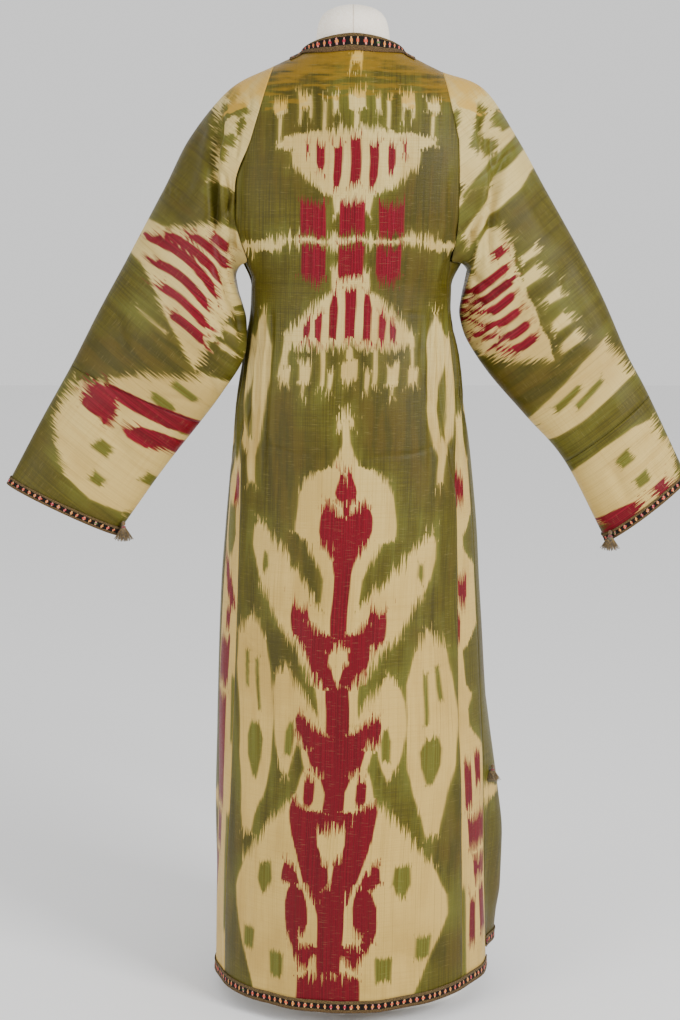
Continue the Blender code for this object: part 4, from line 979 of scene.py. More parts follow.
def ikat_material():
    made, tree, shader = new_material("ikat_silk")
    uv = node(tree, "ShaderNodeUVMap", {"uv_map": "cloth"}, {})
    u, v, _ = split(uv)
    place = node(tree, "ShaderNodeTexCoord", {}, {}, output=3)
    _, _, height = split(place)
    colour = node(tree, "ShaderNodeAttribute", {"attribute_name": "dye"}, {})
    slopes = node(tree, "ShaderNodeAttribute", {"attribute_name": "run"}, {})
    stain_field = node(tree, "ShaderNodeAttribute", {"attribute_name": "run"}, {}, output=3)
    red_in, cream_in, green_in = [(part - 0.5) * (2 * FAR) for part in split(colour)]
    red_run, cream_run, green_run = split(slopes)

    bundles = noise(u * 430.0, v * 7.0, 1.0) - 0.5
    threads = noise(u * 1050.0, v * 9.0, 1.0) - 0.5
    slow = noise(u * 60.0, v * 20.0, 2.0) - 0.5
    shift = bundles * 20.0 + threads * 24.0
    fuzz = threads * 2.4 + slow * 1.4

    def mask(field, run, soft, reach):
        return step(0.0 - soft, soft, field + shift * run * reach + fuzz)

    cream = mask(cream_in, cream_run, 1.1, 1.0)
    red = mask(red_in, red_run, 0.8, 1.2)
    green = mask(green_in, green_run, 1.6, 0.45)

    streaks = noise(u * 1000.0, v * 6.0, 3.0)
    weft = noise(u * 7.0, v * 900.0, 3.0)
    broad = noise(u * 70.0, v * 9.0, 3.0)
    patches = noise(u * 8.0, v * 7.0, 4.0)
    olive = blend(step(0.30, 0.64, streaks) * 0.75 + 0.2, OLIVE_DARK, OLIVE)
    olive = blend(step(0.42, 0.66, weft) * 0.45, olive, OLIVE_DARK)
    near_cream = step(-22.0, 0.0, cream_in + bundles * 18.0) * step(0.30, 0.60, broad)
    olive = blend(near_cream * 0.55, olive, OLIVE_LIGHT)
    olive = blend(step(0.52, 0.80, broad) * 0.22, olive, OLIVE_LIGHT)
    olive = blend(step(0.42, 0.62, patches) * 0.60, olive, blend(step(0.4, 0.6, broad), OLIVE_DARK, BROWN))
    pale = blend(step(0.45, 1.15, height), CREAM_LOW, CREAM_TOP)
    pale = blend(step(0.40, 0.74, streaks) * 0.30, pale, CREAM_SHADE)
    pale = blend(step(0.46, 0.70, weft) * 0.25, pale, CREAM_SHADE)
    pale = blend(step(0.44, 0.66, patches) * 0.50, pale, CREAM_SHADE)
    pale = blend(step(0.50, 0.74, broad) * 0.30, pale, CREAM_SHADE)
    crimson = blend(step(0.34, 0.66, streaks), RED_DARK, RED)
    crimson = blend(step(0.58, 0.76, streaks) * step(0.50, 1.0, height) * 0.6, crimson, RED_LIGHT)
    crimson = blend(step(0.9, 0.3, height) * 0.45, crimson, RED_DARK)
    fresh = blend(step(0.38, 0.66, streaks), OLIVE, OLIVE_LIGHT)

    # Where cream runs into green the two dyes leave a yellowish thread or two
    edge = step(-3.4, -0.6, cream_in + shift * cream_run + fuzz) * (1.0 - cream)
    cloth = blend(edge * 0.45, olive, BROWN_EDGE)
    cloth = blend(cream, cloth, pale)
    cloth = blend(green * cream, cloth, fresh)
    cloth = blend(red, cloth, crimson)

    # An old ochre stain over the shoulders: strongest by the neck, in drips along the weft below
    drips = noise(u * 20.0, v * 150.0, 4.0)
    clouds = noise(u * 26.0, v * 40.0, 3.0)
    inside_stain = stain_field * 40.0 + (clouds - 0.5) * 56.0
    strong = step(6.0, 42.0, inside_stain + (drips - 0.5) * 90.0)
    streaked = step(-1.0, 2.0, inside_stain) * step(0.50, 0.62, drips)
    faded = step(-2.0, 1.0, inside_stain) * step(0.20, 0.70, clouds)
    stained = larger(larger(strong, streaked * 0.75), faded * cream)
    cloth = blend(stained * 0.82, cloth, blend(cream, OCHRE, OCHRE_PALE))

    # A thick weft thread here and there, and a few dark ones along the warp
    slubs = noise(u * 60.0, v * 1100.0, 2.0)
    cloth = blend(step(0.64, 0.80, slubs) * 0.16, cloth, PALE_WEFT)
    cloth = blend(step(0.34, 0.24, noise(u * 1500.0, v * 3.0, 1.0)) * 0.35, cloth, DARK_THREAD)
    weave = noise(u * 2400.0, v * 2400.0, 1.0)
    relief = streaks * 0.5 + slubs * 0.8 + weave * 0.25
    rough = 0.44 + (slubs - 0.5) * 0.30 + (broad - 0.5) * 0.20 - red * 0.03
    connect(tree, shader, Base_Color=cloth, Roughness=rough, Normal=bump(tree, relief, 0.0006, 0.55))
    shader.inputs["Sheen Weight"].default_value = 0.02
    shader.inputs["Sheen Roughness"].default_value = 0.45
    shader.inputs["Specular IOR Level"].default_value = 0.17
    return made


silk = ikat_material()
print("ikat nodes:", len(silk.node_tree.nodes))

# %% [markdown]
# ## Panels of the body
# The chart is laid from the back's middle thread. The sides of the skirt turn away and hang a little
# askew, so there the chart's bundles are spread or drawn in.

# %% Body cloth helpers
CREASE_STRENGTH = 1.5
STAIN_ROW, STAIN_DROP, STAIN_MIDDLE, STAIN_SIDE = 96, 12, 24, 80


def row_at(height):
    return np.interp(height, BACK_HEIGHTS, BACK_ROW_AT)


def chart_across(x, height):
    """Bundles from the middle thread, spread where the skirt turns away."""
    table = np.array([x_at(float(h), thread(float(h))) for h in SEAM_LEVELS])
    seen = (x - np.interp(height, SEAM_LEVELS, table)) * BACK_SCALE
    lower = ease((row_at(height) - 560.0) / 200.0)
    spread = np.where(seen < 0, 0.10, -0.08) * lower
    return seen * (1 + spread * (seen / 100.0) ** 2)


def hand_made(across, row):
    """Small wanderings, so that no motif is quite regular."""
    across = across + 0.9 * np.sin(row / 31.0) + 0.5 * np.sin(row / 11.0 + 2.0)
    outer = ease((np.abs(across) - 34.0) / 30.0) * ease((row - 500.0) / 40.0) * ease((800.0 - row) / 60.0)
    row = row - np.sign(across) * 6.0 * outer
    return across, row + 1.4 * np.sin(across / 9.0 + 1.0) + 0.8 * np.sin(across / 3.7)


def places_to_arrays(places):
    table = np.array(places)
    return table[..., 0], table[..., 1]


def undulation(around, height):
    """The skirt's broad, soft waves, which grow towards the hem."""
    grown = ease((0.95 - height) / 0.9)
    wave = np.sin(around * 62.0 + 1.7 * height) + 0.6 * np.sin(around * 101.0 - 2.3 + 2.6 * height)
    return 0.0011 * grown * wave


def body_points(around, height, lift=0.0, side=None):
    base = bare(around, height)
    facing = outward(around, height)
    back = base[..., 1] < 0
    across = np.where(back, base[..., 0], -base[..., 0]) * BACK_SCALE
    row = row_at(height) + np.where(back, 0.0, 7.0)
    move = gathered(around, height) + undulation(around, height) + lift
    move = move - sunk(BODY_CREASES, across, row, CREASE_STRENGTH)
    if side is not None:
        move = move + flare_at(side, around, height)
    return base + facing * move[..., None], facing, base


def warm_field(row, across=STAIN_SIDE):
    """How far inside the stain a point is: it hangs lower towards the shoulders."""
    lowest = STAIN_ROW + STAIN_DROP * ease((np.abs(across) - STAIN_MIDDLE) / (STAIN_SIDE - STAIN_MIDDLE))
    return np.clip((lowest - row) / 40.0, -1.0, 1.0)


def down_rows(top_row_count, top, spacing, low_spacing):
    yoke = [("yoke", k / top_row_count) for k in range(top_row_count)]
    count = round((top - LOWEST_LEVEL) / spacing)
    levels = [("level", mix(top, LOWEST_LEVEL, k / count)) for k in range(count)]
    low = [("low", k / low_spacing) for k in range(low_spacing + 1)]
    return yoke + levels + low


def spaced(stops, counts):
    """Numbers between the stops, with so many steps in each gap."""
    found = [stops[0]]
    for low, high, count in zip(stops, stops[1:], counts):
        found += [mix(low, high, k / count) for k in range(1, count + 1)]
    return found


# %% Back panel
half_shares = spaced([0.0, NECK_SHARE, CORNER_SHARE, 1.0], [30, 5, 19])
back_shares = [-share for share in half_shares[:0:-1]] + half_shares
back_rows = down_rows(44, BACK_YOKE, 0.0033, 22)
around, height = places_to_arrays([[back_place(share, row) for share in back_shares] for row in back_rows])
points, facing, base = body_points(around, height)
across = chart_across(base[..., 0], height)
row = row_at(height)
dyes, slopes = dye(BODY_CHART, *hand_made(across, row))
uv = np.stack([across * BUNDLE, height], axis=-1)
back_panel = sheet_piece("back_cloth", points, uv, facing, silk, dyes, slopes,
                         stain=warm_field(row, across))
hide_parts("back_panel")
print("back panel:", points.shape[:2], "points")

# %% [markdown]
# The two fronts are one loom width cut down its middle, so each shows half of the same pattern,
# and the whole meets again where the robe's edges meet.

# %% Front panels
SIDES = {"left": -1, "right": 1}
front_shares = spaced([0.0, FRONT_TRIM_SHARE, 1.0], [4, 38])
front_rows = down_rows(34, FRONT_YOKE, 0.0045, 10)
for label, side in SIDES.items():
    around, height = places_to_arrays(
        [[front_place(side, share, row) for share in front_shares] for row in front_rows]
    )
    points, facing, base = body_points(around, height, side=side)
    edge = np.array([front_edge(side, float(h)) for h in height[:, -1]])[:, None]
    across = (edge - around) * side / BUNDLE * 0.98
    row = row_at(height)
    dyes, slopes = dye(BODY_CHART, *hand_made(across + 2.0, row + 9.0 * side))
    uv = np.stack([across * BUNDLE, height], axis=-1)
    name = f"front_cloth_{label}"
    sheet_piece(name, points, uv, facing, silk, dyes, slopes, stain=warm_field(row))
    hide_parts(f"front_panel_{label}")

# %% [markdown]
# The gores are cut from what is left of other lengths, so their pattern belongs to nothing beside it.

# %% Gores
gore_levels = [("level", mix(UNDERARM, LOWEST_LEVEL, k / 280)) for k in range(280)]
back_gores, front_gores = {}, {}
for label, side in SIDES.items():
    rows = gore_levels + [("low", k / 22) for k in range(23)]
    shares = [k / 14 for k in range(15)]
    around, height = places_to_arrays(
        [[gore_place(side, share, row, False) for share in shares] for row in rows]
    )
    points, facing, base = body_points(around, height)
    row = row_at(height)
    across = np.broadcast_to(np.array(shares) * 100.0, around.shape)
    dyes, slopes = dye(GORE_CHARTS[label], across, row + 1.4 * np.sin(across / 11.0))
    uv = np.stack([around, height + 0.31], axis=-1)
    back_gores[label] = sheet_piece(f"back_gore_cloth_{label}", points, uv, facing, silk, dyes * 0.5,
                                    slopes * 0.5, stain=warm_field(row))
    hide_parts(f"back_gore_{label}")

    rows = gore_levels[::2] + [("low", k / 10) for k in range(11)]
    shares = [k / 24 for k in range(25)]
    around, height = places_to_arrays(
        [[gore_place(side, share, row, True) for share in shares] for row in rows]
    )
    points, facing, base = body_points(around, height, side=side)
    row = row_at(height)
    across = np.broadcast_to(np.array(shares) * 100.0, around.shape)
    dyes, slopes = dye(FRONT_GORE_CHART, across, row + 6.0 * side)
    uv = np.stack([around, height + 0.57], axis=-1)
    front_gores[label] = sheet_piece(f"front_gore_cloth_{label}", points, uv, facing, silk, dyes * 0.8,
                                     slopes * 0.8, stain=warm_field(row))
    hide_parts(f"front_gore_{label}")

# %% [markdown]
# ## Sleeves
# A sleeve is a tube from the armhole's own points, through sections, to the cuff. Two widths of
# cloth make it, joined below the elbow. It sags at the back of the arm, where its deepest folds are.

# %% Sleeve tables
# outer x, outer height, inner x, inner height, half depth, y of the inner edge
SLEEVE_SECTIONS = {
    "left": [
        (-0.1640, 1.2700, -0.1590, 1.0190, 0.077, 0.000), (-0.2185, 1.2070, -0.1545, 0.9965, 0.065, -0.014),
        (-0.2560, 1.1365, -0.1430, 0.9610, 0.056, -0.032), (-0.3080, 1.0420, -0.1450, 0.9140, 0.049, -0.046),
        (-0.3470, 0.9730, -0.1780, 0.8615, 0.045, -0.034), (-0.3865, 0.8980, -0.2095, 0.8195, 0.041, -0.016),
        (-0.4298, 0.8227, -0.2610, 0.7545, 0.035, -0.004), (-0.4795, 0.7317, -0.3290, 0.6600, 0.026, 0.000),
    ],
    "right": [
        (0.1765, 1.2700, 0.1590, 1.0205, 0.077, 0.0), (0.2220, 1.2070, 0.1515, 0.9985, 0.064, 0.0),
        (0.2600, 1.1415, 0.1470, 0.9670, 0.056, 0.0), (0.3105, 1.0540, 0.1555, 0.9365, 0.050, 0.0),
        (0.3455, 0.9868, 0.1885, 0.8865, 0.046, 0.0), (0.3790, 0.9130, 0.2410, 0.8268, 0.043, 0.0),
        (0.4100, 0.8565, 0.2960, 0.7640, 0.040, 0.0), (0.4670, 0.7397, 0.3560, 0.6510, 0.034, 0.0),
    ],
}
SLEEVE_JOIN = {"left": 6, "right": 7}
# from station, from turn, to station, to turn, width, depth, in metres
TROUGHS = [
    (1.10, 0.11, 2.10, 0.30, 0.022, 0.008), (2.40, 0.36, 3.60, 0.44, 0.026, 0.006),
    (2.40, 0.64, 3.60, 0.56, 0.026, 0.006), (1.10, 0.89, 2.10, 0.70, 0.022, 0.007),
]
SLEEVE_CREASES = {"left": LEFT_CREASES, "right": RIGHT_CREASES}
FOLD_STRENGTH, FOLD_REACH = 2.4, 1.8
# How far the front's folds lie from the back's, and the stations over which folds begin
FRONT_FOLD_ACROSS, FRONT_FOLD_ROW = 5.0, -9.0
TROUGH_START, FOLD_START = 0.7, 0.35
# The warp's direction on the sleeve, inwards and down
WARP_IN, WARP_DOWN = 0.785, 0.62

# %% Sleeve surface


def armhole_loop(side):
    """The armhole's points: down the back, under the arm and up the front."""
    yoke = [("yoke", k / 26) for k in range(26)]
    back_levels = [("level", mix(BACK_YOKE, UNDERARM, k / 40)) for k in range(41)]
    front_levels = [("level", mix(FRONT_YOKE, UNDERARM, k / 30)) for k in range(31)]
    low = ("level", UNDERARM)
    down = [back_place(side * 1.0, row) for row in yoke + back_levels]
    back_low = [gore_place(side, share, low, False) for share in (0.25, 0.5, 0.75)]
    front_low = [gore_place(side, share, low, True) for share in np.linspace(0, 0.95, 14)]
    up = [front_place(side, 1.0, row) for row in yoke + front_levels][::-1]
    loop = np.array([*down, *back_low, *front_low, *up[:-1]])
    lowest = len(down) + len(back_low)
    here = bare(loop[:, 0], loop[:, 1]) + outward(loop[:, 0], loop[:, 1]) * gathered(
        loop[:, 0], loop[:, 1]
    )[:, None]
    return here, lowest


def loop_turns(loop, lowest):
    steps = np.linalg.norm(np.roll(loop, -1, axis=0) - loop, axis=1)
    way = np.concatenate([[0.0], np.cumsum(steps)[:-1]])
    down = steps[:lowest].sum()
    up = steps[lowest:].sum()
    number = np.arange(len(loop))
    return np.where(number <= lowest, way / down / 2, 0.5 + (way - down) / up / 2)


def section_ring(section, turns):
    angle = 2 * np.pi * turns
    outer = np.array([section[0], 0.0, section[1]])
    inner = np.array([section[2], section[5], section[3]])
    ring = (outer + inner) / 2 + (outer - inner) / 2 * np.cos(angle)[:, None]
    ring[:, 1] -= section[4] * np.sin(angle)
    return ring


def catmull(rows, along):
    i = int(clamp(math.floor(along), 0, len(rows) - 2))
    t = along - i
    before = rows[i - 1] if i else rows[0] * 2 - rows[1]
    after = rows[i + 2] if i + 2 < len(rows) else rows[-1] * 2 - rows[-2]
    a, b = rows[i], rows[i + 1]
    return 0.5 * (2 * a + (b - before) * t + (2 * before - 5 * a + 4 * b - after) * t * t
                  + (3 * a - before - 3 * b + after) * t**3)


def tube_facing(grid, side):
    around = np.roll(grid, -1, axis=1) - np.roll(grid, 1, axis=1)
    along = np.gradient(grid, axis=0)
    return unit(np.cross(around, along) * side)


def trough_depth(along, turn):
    total = np.zeros_like(turn * along)
    for start, start_turn, end, end_turn, width, depth in TROUGHS:
        share = np.clip((along - start) / (end - start), 0.0, 1.0)
        beside = (turn - mix(start_turn, end_turn, share)) * 0.5 / width
        past = (along - mix(start, end, share)) / 0.35
        total += depth * (0.35 + 0.65 * np.sin(np.pi * share)) * np.exp(-(beside**2) - past**2)
    return total


def sleeve_grid(label, stations, spokes):
    """Points, outward directions, chart distances and chart rows of a stretch of sleeve."""
    side = SIDES[label]
    loop, lowest = armhole_loop(side)
    turns = loop_turns(loop, lowest)
    even = np.linspace(0, 1, spokes, endpoint=False)
    keys = np.concatenate([turns, [1.0]])
    ring = np.concatenate([loop, loop[:1]])
    start = np.stack([np.interp(even, keys, ring[:, k]) for k in range(3)], axis=-1)
    start[:, 0] += side * SEAM_GAP
    rows = [start] + [section_ring(section, even) for section in SLEEVE_SECTIONS[label]]
    grid = np.array([catmull(rows, along) for along in stations])
    facing = tube_facing(grid, side)
    seen = side * grid[..., 0] * SLEEVE_SCALE
    row = np.interp(grid[..., 2], SLEEVE_HEIGHTS, SLEEVE_ROW_AT)
    station = np.array(stations)[:, None]
    begun = ease(station / TROUGH_START)
    hidden = facing[..., 1] > 0
    depth = trough_depth(station, even[None, :]) * begun
    fold_across = seen + np.where(hidden, FRONT_FOLD_ACROSS, 0.0)
    fold_row = row + np.where(hidden, FRONT_FOLD_ROW, 0.0)
    reach = np.clip(np.abs(facing[..., 1]) * FOLD_REACH, 0.0, 1.0)
    folds = sunk(SLEEVE_CREASES[label], fold_across, fold_row, FOLD_STRENGTH)
    depth = depth + folds * reach * ease(station / FOLD_START)
    moved = grid - facing * depth[..., None]
    warp = -seen * WARP_IN + row * WARP_DOWN
    along = seen * WARP_DOWN + row * WARP_IN
    return moved, facing, along, warp, row


def close_round(table):
    """The first column again at the end, so that the tube meets itself."""
    return np.concatenate([table, table[:, :1]], axis=1)


# %% Sleeve cloth
SLEEVE_SPOKES, CUFF_SPOKES = 150, 240
for label, side in SIDES.items():
    join = SLEEVE_JOIN[label]
    end = len(SLEEVE_SECTIONS[label])
    upper_stations = [join * k / 104 for k in range(105)]
    lower_steps = 16 * (end - join) + 14
    lower_stations = [mix(join + 0.006, end, k / lower_steps) for k in range(lower_steps + 1)]
    for part, stations in (("upper", upper_stations), ("lower", lower_stations)):
        points, facing, along, warp, row = (
            close_round(t) for t in sleeve_grid(label, stations, SLEEVE_SPOKES)
        )
        dyes, slopes = dye(SLEEVE_CHARTS[label], along + 0.8 * np.sin(warp / 17.0),
                           warp + 1.2 * np.sin(along / 5.0))
        uv = np.stack([along * BUNDLE, warp * BUNDLE + 0.8], axis=-1)
        name = f"sleeve_{part}_cloth_{label}"
        sheet_piece(name, points, uv, facing, silk, dyes, slopes, closed=True,
                                           stain=warm_field(row))
        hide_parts(f"sleeve_{part}_{label}")
print("sleeve rows:", len(upper_stations), "by", SLEEVE_SPOKES)

# %% [markdown]
# ## The braid
# A narrow hand-woven braid edges the neck, the fronts, the hem and the cuffs: a dark band with a row
# of small bright motifs, between two twisted borders. The borders are raised and have their twist in
# the mesh, and the motifs are counted out by the material along the braid's length.

# %% Braid material
MOTIF_PITCH = 0.0092
BORDER_TURNS = 3.0
BLACK_WOOL = (0.004, 0.0028, 0.0026)


def braid_material():
    made, tree, shader = new_material("woven_braid")
    uv = node(tree, "ShaderNodeUVMap", {"uv_map": "cloth"}, {})
    u, v, _ = split(uv)
    wander = (noise(u * 120.0, v * 2.0, 1.0) - 0.5) * 0.10
    v_bent = v + wander
    counted = u * (1.0 / MOTIF_PITCH) + (noise(u * 90.0, v, 1.0) - 0.5) * 0.5
    cell = counted.maths("FLOOR", counted)
    inside = counted - cell - 0.5
    off = absolute(inside)
    from_middle = absolute(v_bent - 0.5)
    pick = node(tree, "ShaderNodeTexWhiteNoise", {"noise_dimensions": "1D"}, {"W": cell})
    motif = node(tree, "ShaderNodeValToRGB", {"stops": [
        (0.0, (*hue("CE5A3E"), 1.0)), (0.34, (*hue("D08040"), 1.0)), (0.58, (*hue("A82A3C"), 1.0)),
        (0.78, (*hue("C8503C"), 1.0)), (0.93, (*hue("4E6A3A"), 1.0)),
    ]}, {"Fac": pick})
    tree.nodes[-1].color_ramp.interpolation = "CONSTANT"
    arms = step(0.25, 0.18, off) * step(0.085, 0.060, from_middle)
    stem = step(0.13, 0.08, off) * step(0.205, 0.180, from_middle)
    shape = larger(arms, stem)
    tips = blend(step(0.5, 0.5001, pick), hue("D2A068"), hue("CC8474"))
    band = blend(stem, BLACK_WOOL, tips)
    band = blend(arms, band, motif)
    twist = (u * (2.0 * BORDER_TURNS / MOTIF_PITCH) + v * 4.0) * 6.2832
    strands = step(-0.2, 0.5, twist.maths("SINE", twist))
    specks = noise(u * 800.0, v * 26.0, 2.0)
    border = blend(strands, hue("17110B"), hue("8E7448"))
    border = blend(step(0.50, 0.60, specks) * 0.7, border, hue("1E140E"))
    border = blend(step(0.72, 0.86, v_bent) * 0.30, border, hue("4E3222"))
    rim = step(0.225, 0.250, from_middle)
    colour = blend(rim, band, border)
    fibre = noise(u * 2600.0, v * 40.0, 2.0)
    colour = blend(step(0.55, 0.75, fibre) * 0.22, colour, hue("5E4A2C"))
    relief = fibre * 0.6 + shape * 0.5 + strands * rim * 0.7
    connect(tree, shader, Base_Color=colour, Roughness=0.78 + (fibre - 0.5) * 0.25,
            Normal=bump(tree, relief, 0.0005, 0.8))
    shader.inputs["Sheen Weight"].default_value = 0.04
    shader.inputs["Specular IOR Level"].default_value = 0.12
    return made


braid = braid_material()

# %% Braid on the panels
BRAID_LIFT, BRAID_WALL, CORD_RISE = 0.0017, 0.0012, 0.0005


def braid_rise(length, part):
    """The raised, twisted borders, and a low row of motifs between them."""
    border = ease((np.abs(part - 0.5) - 0.24) / 0.10) * ease((0.52 - np.abs(part - 0.5)) / 0.06)
    twist = 0.5 + 0.5 * np.sin(2 * np.pi * (BORDER_TURNS * length / MOTIF_PITCH + 2.0 * part))
    knots = 0.5 + 0.5 * np.cos(2 * np.pi * length / MOTIF_PITCH)
    middle = ease((0.2 - np.abs(part - 0.5)) / 0.1)
    return CORD_RISE * (border * (0.6 + 0.5 * twist) + 0.45 * middle * knots)


def braid_piece(name, places, stands_for, flare_side=None, across_first=False):
    """A braid whose grid runs along its length in columns, and across its width in rows."""
    around, height = places_to_arrays(places)
    flat, facing, _ = body_points(around, height, side=flare_side)
    if across_first:
        flat, facing = flat.transpose(1, 0, 2), facing.transpose(1, 0, 2)
    steps = np.linalg.norm(np.diff(flat, axis=1), axis=-1).mean(axis=0)
    length = np.concatenate([[0.0], np.cumsum(steps)])
    part = np.linspace(0.0, 1.0, flat.shape[0])[:, None]
    rise = braid_rise(length[None, :], part)
    uv = np.stack(np.broadcast_arrays(length[None, :], part), axis=-1)
    points = flat + facing * (BRAID_LIFT + rise)[..., None]
    made = sheet_piece(name, points, uv, facing, braid, wall=BRAID_WALL)
    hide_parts(stands_for)
    return made, float(length[-1])


parts = [k / 12 for k in range(13)]
neck_shares = [CORNER_SHARE * k / 130 for k in range(-130, 131)]
places = [[back_place(share, ("yoke", 0.25 * part)) for share in neck_shares] for part in parts]
braid_piece("neck_braid", places, "neck_trim")

hem_left = [("gore", -1, 1 - k / 60) for k in range(60)]
hem_middle = [("panel", 0, -1 + k / 120) for k in range(241)]
hem_right = [("gore", 1, k / 60) for k in range(1, 61)]


def hem_place(kind, side, share, part):
    row = ("trim", part)
    return gore_place(side, share, row, False) if kind == "gore" else back_place(share, row)


places = [[hem_place(*stop, part) for stop in hem_left + hem_middle + hem_right] for part in parts]
braid_piece("hem_braid_back", places, "hem_trim_back")

for label, side in SIDES.items():
    gore_shares = [k / 60 for k in range(60)]
    panel_shares = [1 - k / 90 for k in range(91)]
    places = [
        [gore_place(side, share, ("trim", part), True) for share in gore_shares]
        + [front_place(side, share, ("trim", part)) for share in panel_shares]
        for part in parts
    ]
    braid_piece(f"hem_braid_front_{label}", places, f"hem_trim_front_{label}", side)
    edge_rows = [("yoke", k / 60) for k in range(60)]
    edge_rows += [("level", mix(FRONT_YOKE, FRONT_HEM + HEM_TRIM + SEAM_GAP, k / 420)) for k in range(421)]
    places = [[front_place(side, FRONT_TRIM_SHARE * part, row) for part in parts] for row in edge_rows]
    braid_piece(
        f"front_braid_{label}", places, f"front_trim_{label}", side, across_first=True
    )

# %% Braid on the cuffs
for label, side in SIDES.items():
    end = len(SLEEVE_SECTIONS[label])
    last, before = SLEEVE_SECTIONS[label][-1], SLEEVE_SECTIONS[label][-2]
    trim = CUFF_TRIM / math.hypot(last[0] - before[0], last[1] - before[1])
    stations = [end - trim * (1 - part) for part in parts]
    flat, facing, _, _, _ = sleeve_grid(label, stations, CUFF_SPOKES)
    flat, facing = close_round(flat), close_round(facing)
    steps = np.linalg.norm(np.diff(flat, axis=1), axis=-1).mean(axis=0)
    turns_round = round(steps.sum() / MOTIF_PITCH)
    length = np.concatenate([[0.0], np.cumsum(steps)]) * (turns_round * MOTIF_PITCH / steps.sum())
    part = np.array(parts)[:, None]
    points = flat + facing * (BRAID_LIFT + braid_rise(length[None, :], part))[..., None]
    uv = np.stack(np.broadcast_arrays(length[None, :], part), axis=-1)
    made = sheet_piece(f"cuff_braid_{label}", points, uv, facing, braid, closed=True, wall=BRAID_WALL)
    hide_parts(f"cuff_trim_{label}")

# %% [markdown]
# ## Tassels
# A small tassel hangs at the inner corner of each cuff and beside each slit: a wound head, a red
# binding below it, and a skirt of loose strands. The left slit's hangs further forward, as its solid
# does, out of the picture's view.

# %% Tassel material and shape
STRANDS, STRAND_SIDES, GOLDEN_TURN = 130, 4, 2.39996
LARGEST_LEAN, PAST_SLIT = 0.62, 0.018
SORT_WAY = Vector((0.731, 0.317, 1.0))


def thread_material(name, dark, light):
    made, tree, shader = new_material(name)
    place = node(tree, "ShaderNodeTexCoord", {}, {}, output=3)
    x, y, z = split(place)
    tone = noise(x * 1800.0 + y * 1500.0, z * 60.0, 2.0)
    fine = noise(x * 5200.0, z * 900.0 + y * 5200.0, 1.0)
    colour = blend(step(0.35, 0.65, tone), dark, light)
    connect(tree, shader, Base_Color=colour, Roughness=0.72 + (fine - 0.5) * 0.3,
            Normal=bump(tree, fine, 0.0003, 0.7))
    shader.inputs["Sheen Weight"].default_value = 0.3
    return made


strand_thread = thread_material("tassel_brown", hue("1E160E"), hue("8A6E36"))
head_thread = thread_material("tassel_head", hue("2A1C12"), hue("7A5C2E"))
knot_thread = thread_material("tassel_red", hue("4A1418"), hue("8A3434"))


def beside_slit(side, height, off):
    """A point just outside the front gore's cloth, a little past the slit's edge."""
    around, level = np.array([slit_line(side, height) + side * PAST_SLIT]), np.array([height])
    return tuple(body_points(around, level, lift=off, side=side)[0][0])


def tassel_piece(name, stands_for, place, radius, length):
    """A wound head and knot, and strands that spread a little as they hang."""
    shell = bmesh.new()
    head = bmesh.ops.create_uvsphere(shell, u_segments=16, v_segments=10, radius=radius * 0.62)["verts"]
    for vert in head:
        wound = 1 + 0.06 * math.sin(vert.co.z / radius * 16)
        vert.co.x *= 0.82 * wound
        vert.co.y *= 0.82 * wound
    for face in shell.faces:
        face.material_index = 1
    ring = bmesh.ops.create_uvsphere(shell, u_segments=14, v_segments=8, radius=radius * 0.62)["verts"]
    bmesh.ops.scale(shell, verts=ring, vec=(1.0, 1.0, 0.5))
    bmesh.ops.translate(shell, verts=ring, vec=(0.0, 0.0, -radius * 0.92))
    for face in {face for vert in ring for face in vert.link_faces}:
        face.material_index = 2
    for number in range(STRANDS):
        turn = GOLDEN_TURN * number
        share = math.sqrt((number + 0.5) / STRANDS)
        reach = length * (1.0 + 0.12 * math.sin(1.7 * number))
        rod = bmesh.ops.create_cone(
            shell, cap_ends=True, segments=STRAND_SIDES, radius1=radius * 0.06, radius2=radius * 0.10,
            depth=reach,
        )["verts"]
        bmesh.ops.translate(shell, verts=rod, vec=(0.0, 0.0, -reach / 2))
        lean = Matrix.Rotation(turn, 4, "Z") @ Matrix.Rotation(-LARGEST_LEAN * share, 4, "Y")
        start = (math.cos(turn) * radius * 0.42 * share, math.sin(turn) * radius * 0.42 * share, -radius)
        bmesh.ops.transform(shell, verts=rod, matrix=Matrix.Translation(start) @ lean)
    bmesh.ops.translate(shell, verts=shell.verts, vec=place)
    # A sphere's faces come in another order on each run, so vertices and faces are sorted here
    shell.verts.sort(key=lambda vert: vert.co.dot(SORT_WAY))
    shell.faces.sort(key=lambda face: face.calc_center_median().dot(SORT_WAY))
    mesh = bpy.data.meshes.new(name)
    shell.to_mesh(mesh)
    shell.free()
    for finish in (strand_thread, head_thread, knot_thread):
        mesh.materials.append(finish)
    mesh.shade_smooth()
    made = bpy.data.objects.new(name, mesh)
    bpy.context.scene.collection.objects.link(made)
    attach(made, body)
    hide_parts(stands_for)
    return made


for stands_for, radius, length in (("cuff_tassel_left", 0.0055, 0.019), ("cuff_tassel_right", 0.0055, 0.019),
                                   ("slit_tassel_left", 0.0050, 0.016), ("slit_tassel_right", 0.0050, 0.016)):
    low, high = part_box(stands_for)
    middle = ((low.x + high.x) / 2, (low.y + high.y) / 2, high.z - radius)
    if stands_for == "slit_tassel_right":
        middle = beside_slit(SIDES["right"], high.z - radius, radius)
    print(stands_for, "hangs at", [round(value, 4) for value in middle])
    tassel_piece(f"{stands_for}_threads", stands_for, middle, radius, length * 0.96)

# %% [markdown]
# ## Dress form and stand
# The form is padded, under ivory cotton jersey, smooth and without limbs. A subdivided copy of its
# solid rounds the neck.

# %% Dress form


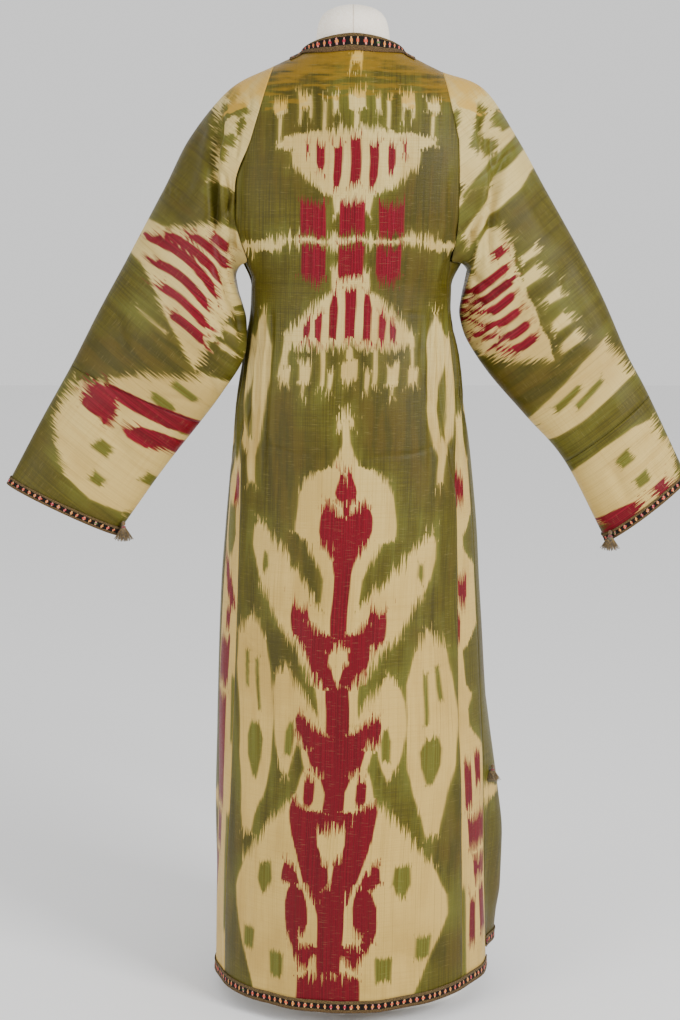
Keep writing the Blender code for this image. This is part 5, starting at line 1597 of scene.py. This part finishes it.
def jersey_material():
    made, tree, shader = new_material("form_jersey")
    place = node(tree, "ShaderNodeTexCoord", {}, {}, output=3)
    x, y, z = split(place)
    weave = noise(x * 1900.0 + y * 700.0, z * 240.0, 2.0) * 0.5 + noise(x * 240.0, z * 1900.0, 2.0) * 0.5
    soil = noise(x * 22.0 + y * 9.0, z * 22.0, 3.0)
    colour = blend(step(0.40, 0.62, weave), hue("EEE2CE"), hue("FAF3E6"))
    colour = blend(step(0.5, 0.75, soil) * 0.22, colour, hue("D2BC9C"))
    off = absolute(x - 0.001)
    seam = step(0.0011, 0.0004, off)
    colour = blend(seam * 0.45, colour, hue("A98C68"))
    relief = weave * 0.6 - seam * 1.2
    connect(tree, shader, Base_Color=colour, Roughness=0.86 + (weave - 0.5) * 0.1,
            Normal=bump(tree, relief, 0.0006, 0.6))
    shader.inputs["Sheen Weight"].default_value = 0.15
    return made


jersey = jersey_material()
shell = bmesh.new()
shell.from_mesh(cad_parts["dress_form"].data)
bmesh.ops.remove_doubles(shell, verts=shell.verts, dist=1e-5)
mesh = bpy.data.meshes.new("form_cover")
shell.to_mesh(mesh)
shell.free()
mesh.materials.clear()
mesh.materials.append(jersey)
mesh.shade_smooth()
form = bpy.data.objects.new("form_cover", mesh)
bpy.context.scene.collection.objects.link(form)
smooth = form.modifiers.new("smooth", "SUBSURF")
smooth.levels = 1
smooth.render_levels = 1
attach(form, body)
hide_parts("dress_form")

# %% Stand


def stand_material():
    made, tree, shader = new_material("stand_paint")
    place = node(tree, "ShaderNodeTexCoord", {}, {}, output=3)
    x, y, z = split(place)
    grain = noise(x * 900.0 + y * 900.0, z * 900.0, 2.0)
    worn = noise(x * 30.0 + z * 8.0, y * 30.0, 3.0)
    colour = blend(step(0.4, 0.7, worn), hue("DAD8D3"), hue("E8E6E1"))
    connect(tree, shader, Base_Color=colour, Roughness=0.38 + grain * 0.10 + worn * 0.10,
            Normal=bump(tree, grain, 0.0001, 0.3))
    return made


paint = stand_material()
for name in ("stand_pole", "stand_plate"):
    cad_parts[name].data.materials.clear()
    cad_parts[name].data.materials.append(paint)

# %% [markdown]

# %% [markdown]
# ## Light and floor
# Soft light from two large panels in front and an even white surround, as for a catalogue picture.

# %% Studio


def lamp(name, place, target, size, watts):
    data = bpy.data.lights.new(name, "AREA")
    data.shape = "RECTANGLE"
    data.size, data.size_y = size
    data.energy = watts
    made = bpy.data.objects.new(name, data)
    made.location = place
    made.rotation_euler = (Vector(target) - Vector(place)).to_track_quat("-Z", "Y").to_euler()
    bpy.context.scene.collection.objects.link(made)


world = bpy.data.worlds.new("surround")
world.use_nodes = True
world.node_tree.nodes["Background"].inputs["Color"].default_value = (1.0, 1.0, 1.0, 1.0)
world.node_tree.nodes["Background"].inputs["Strength"].default_value = 1.0
bpy.context.scene.world = world
lamp("key", (2.3, -2.2, 2.2), (0.0, 0.0, 0.8), (1.1, 1.4), 115.0)
lamp("fill", (-2.4, -2.2, 1.4), (0.0, 0.0, 0.6), (1.4, 1.6), 42.0)

floor_mesh = bmesh.new()
bmesh.ops.create_grid(floor_mesh, x_segments=1, y_segments=1, size=9.0)
mesh = bpy.data.meshes.new("floor")
floor_mesh.to_mesh(mesh)
floor_mesh.free()
floor_made, _, floor_shader = new_material("pale_floor")
floor_shader.inputs["Base Color"].default_value = (0.90, 0.90, 0.90, 1.0)
floor_shader.inputs["Roughness"].default_value = 0.9
mesh.materials.append(floor_made)
floor = bpy.data.objects.new("floor", mesh)
bpy.context.scene.collection.objects.link(floor)
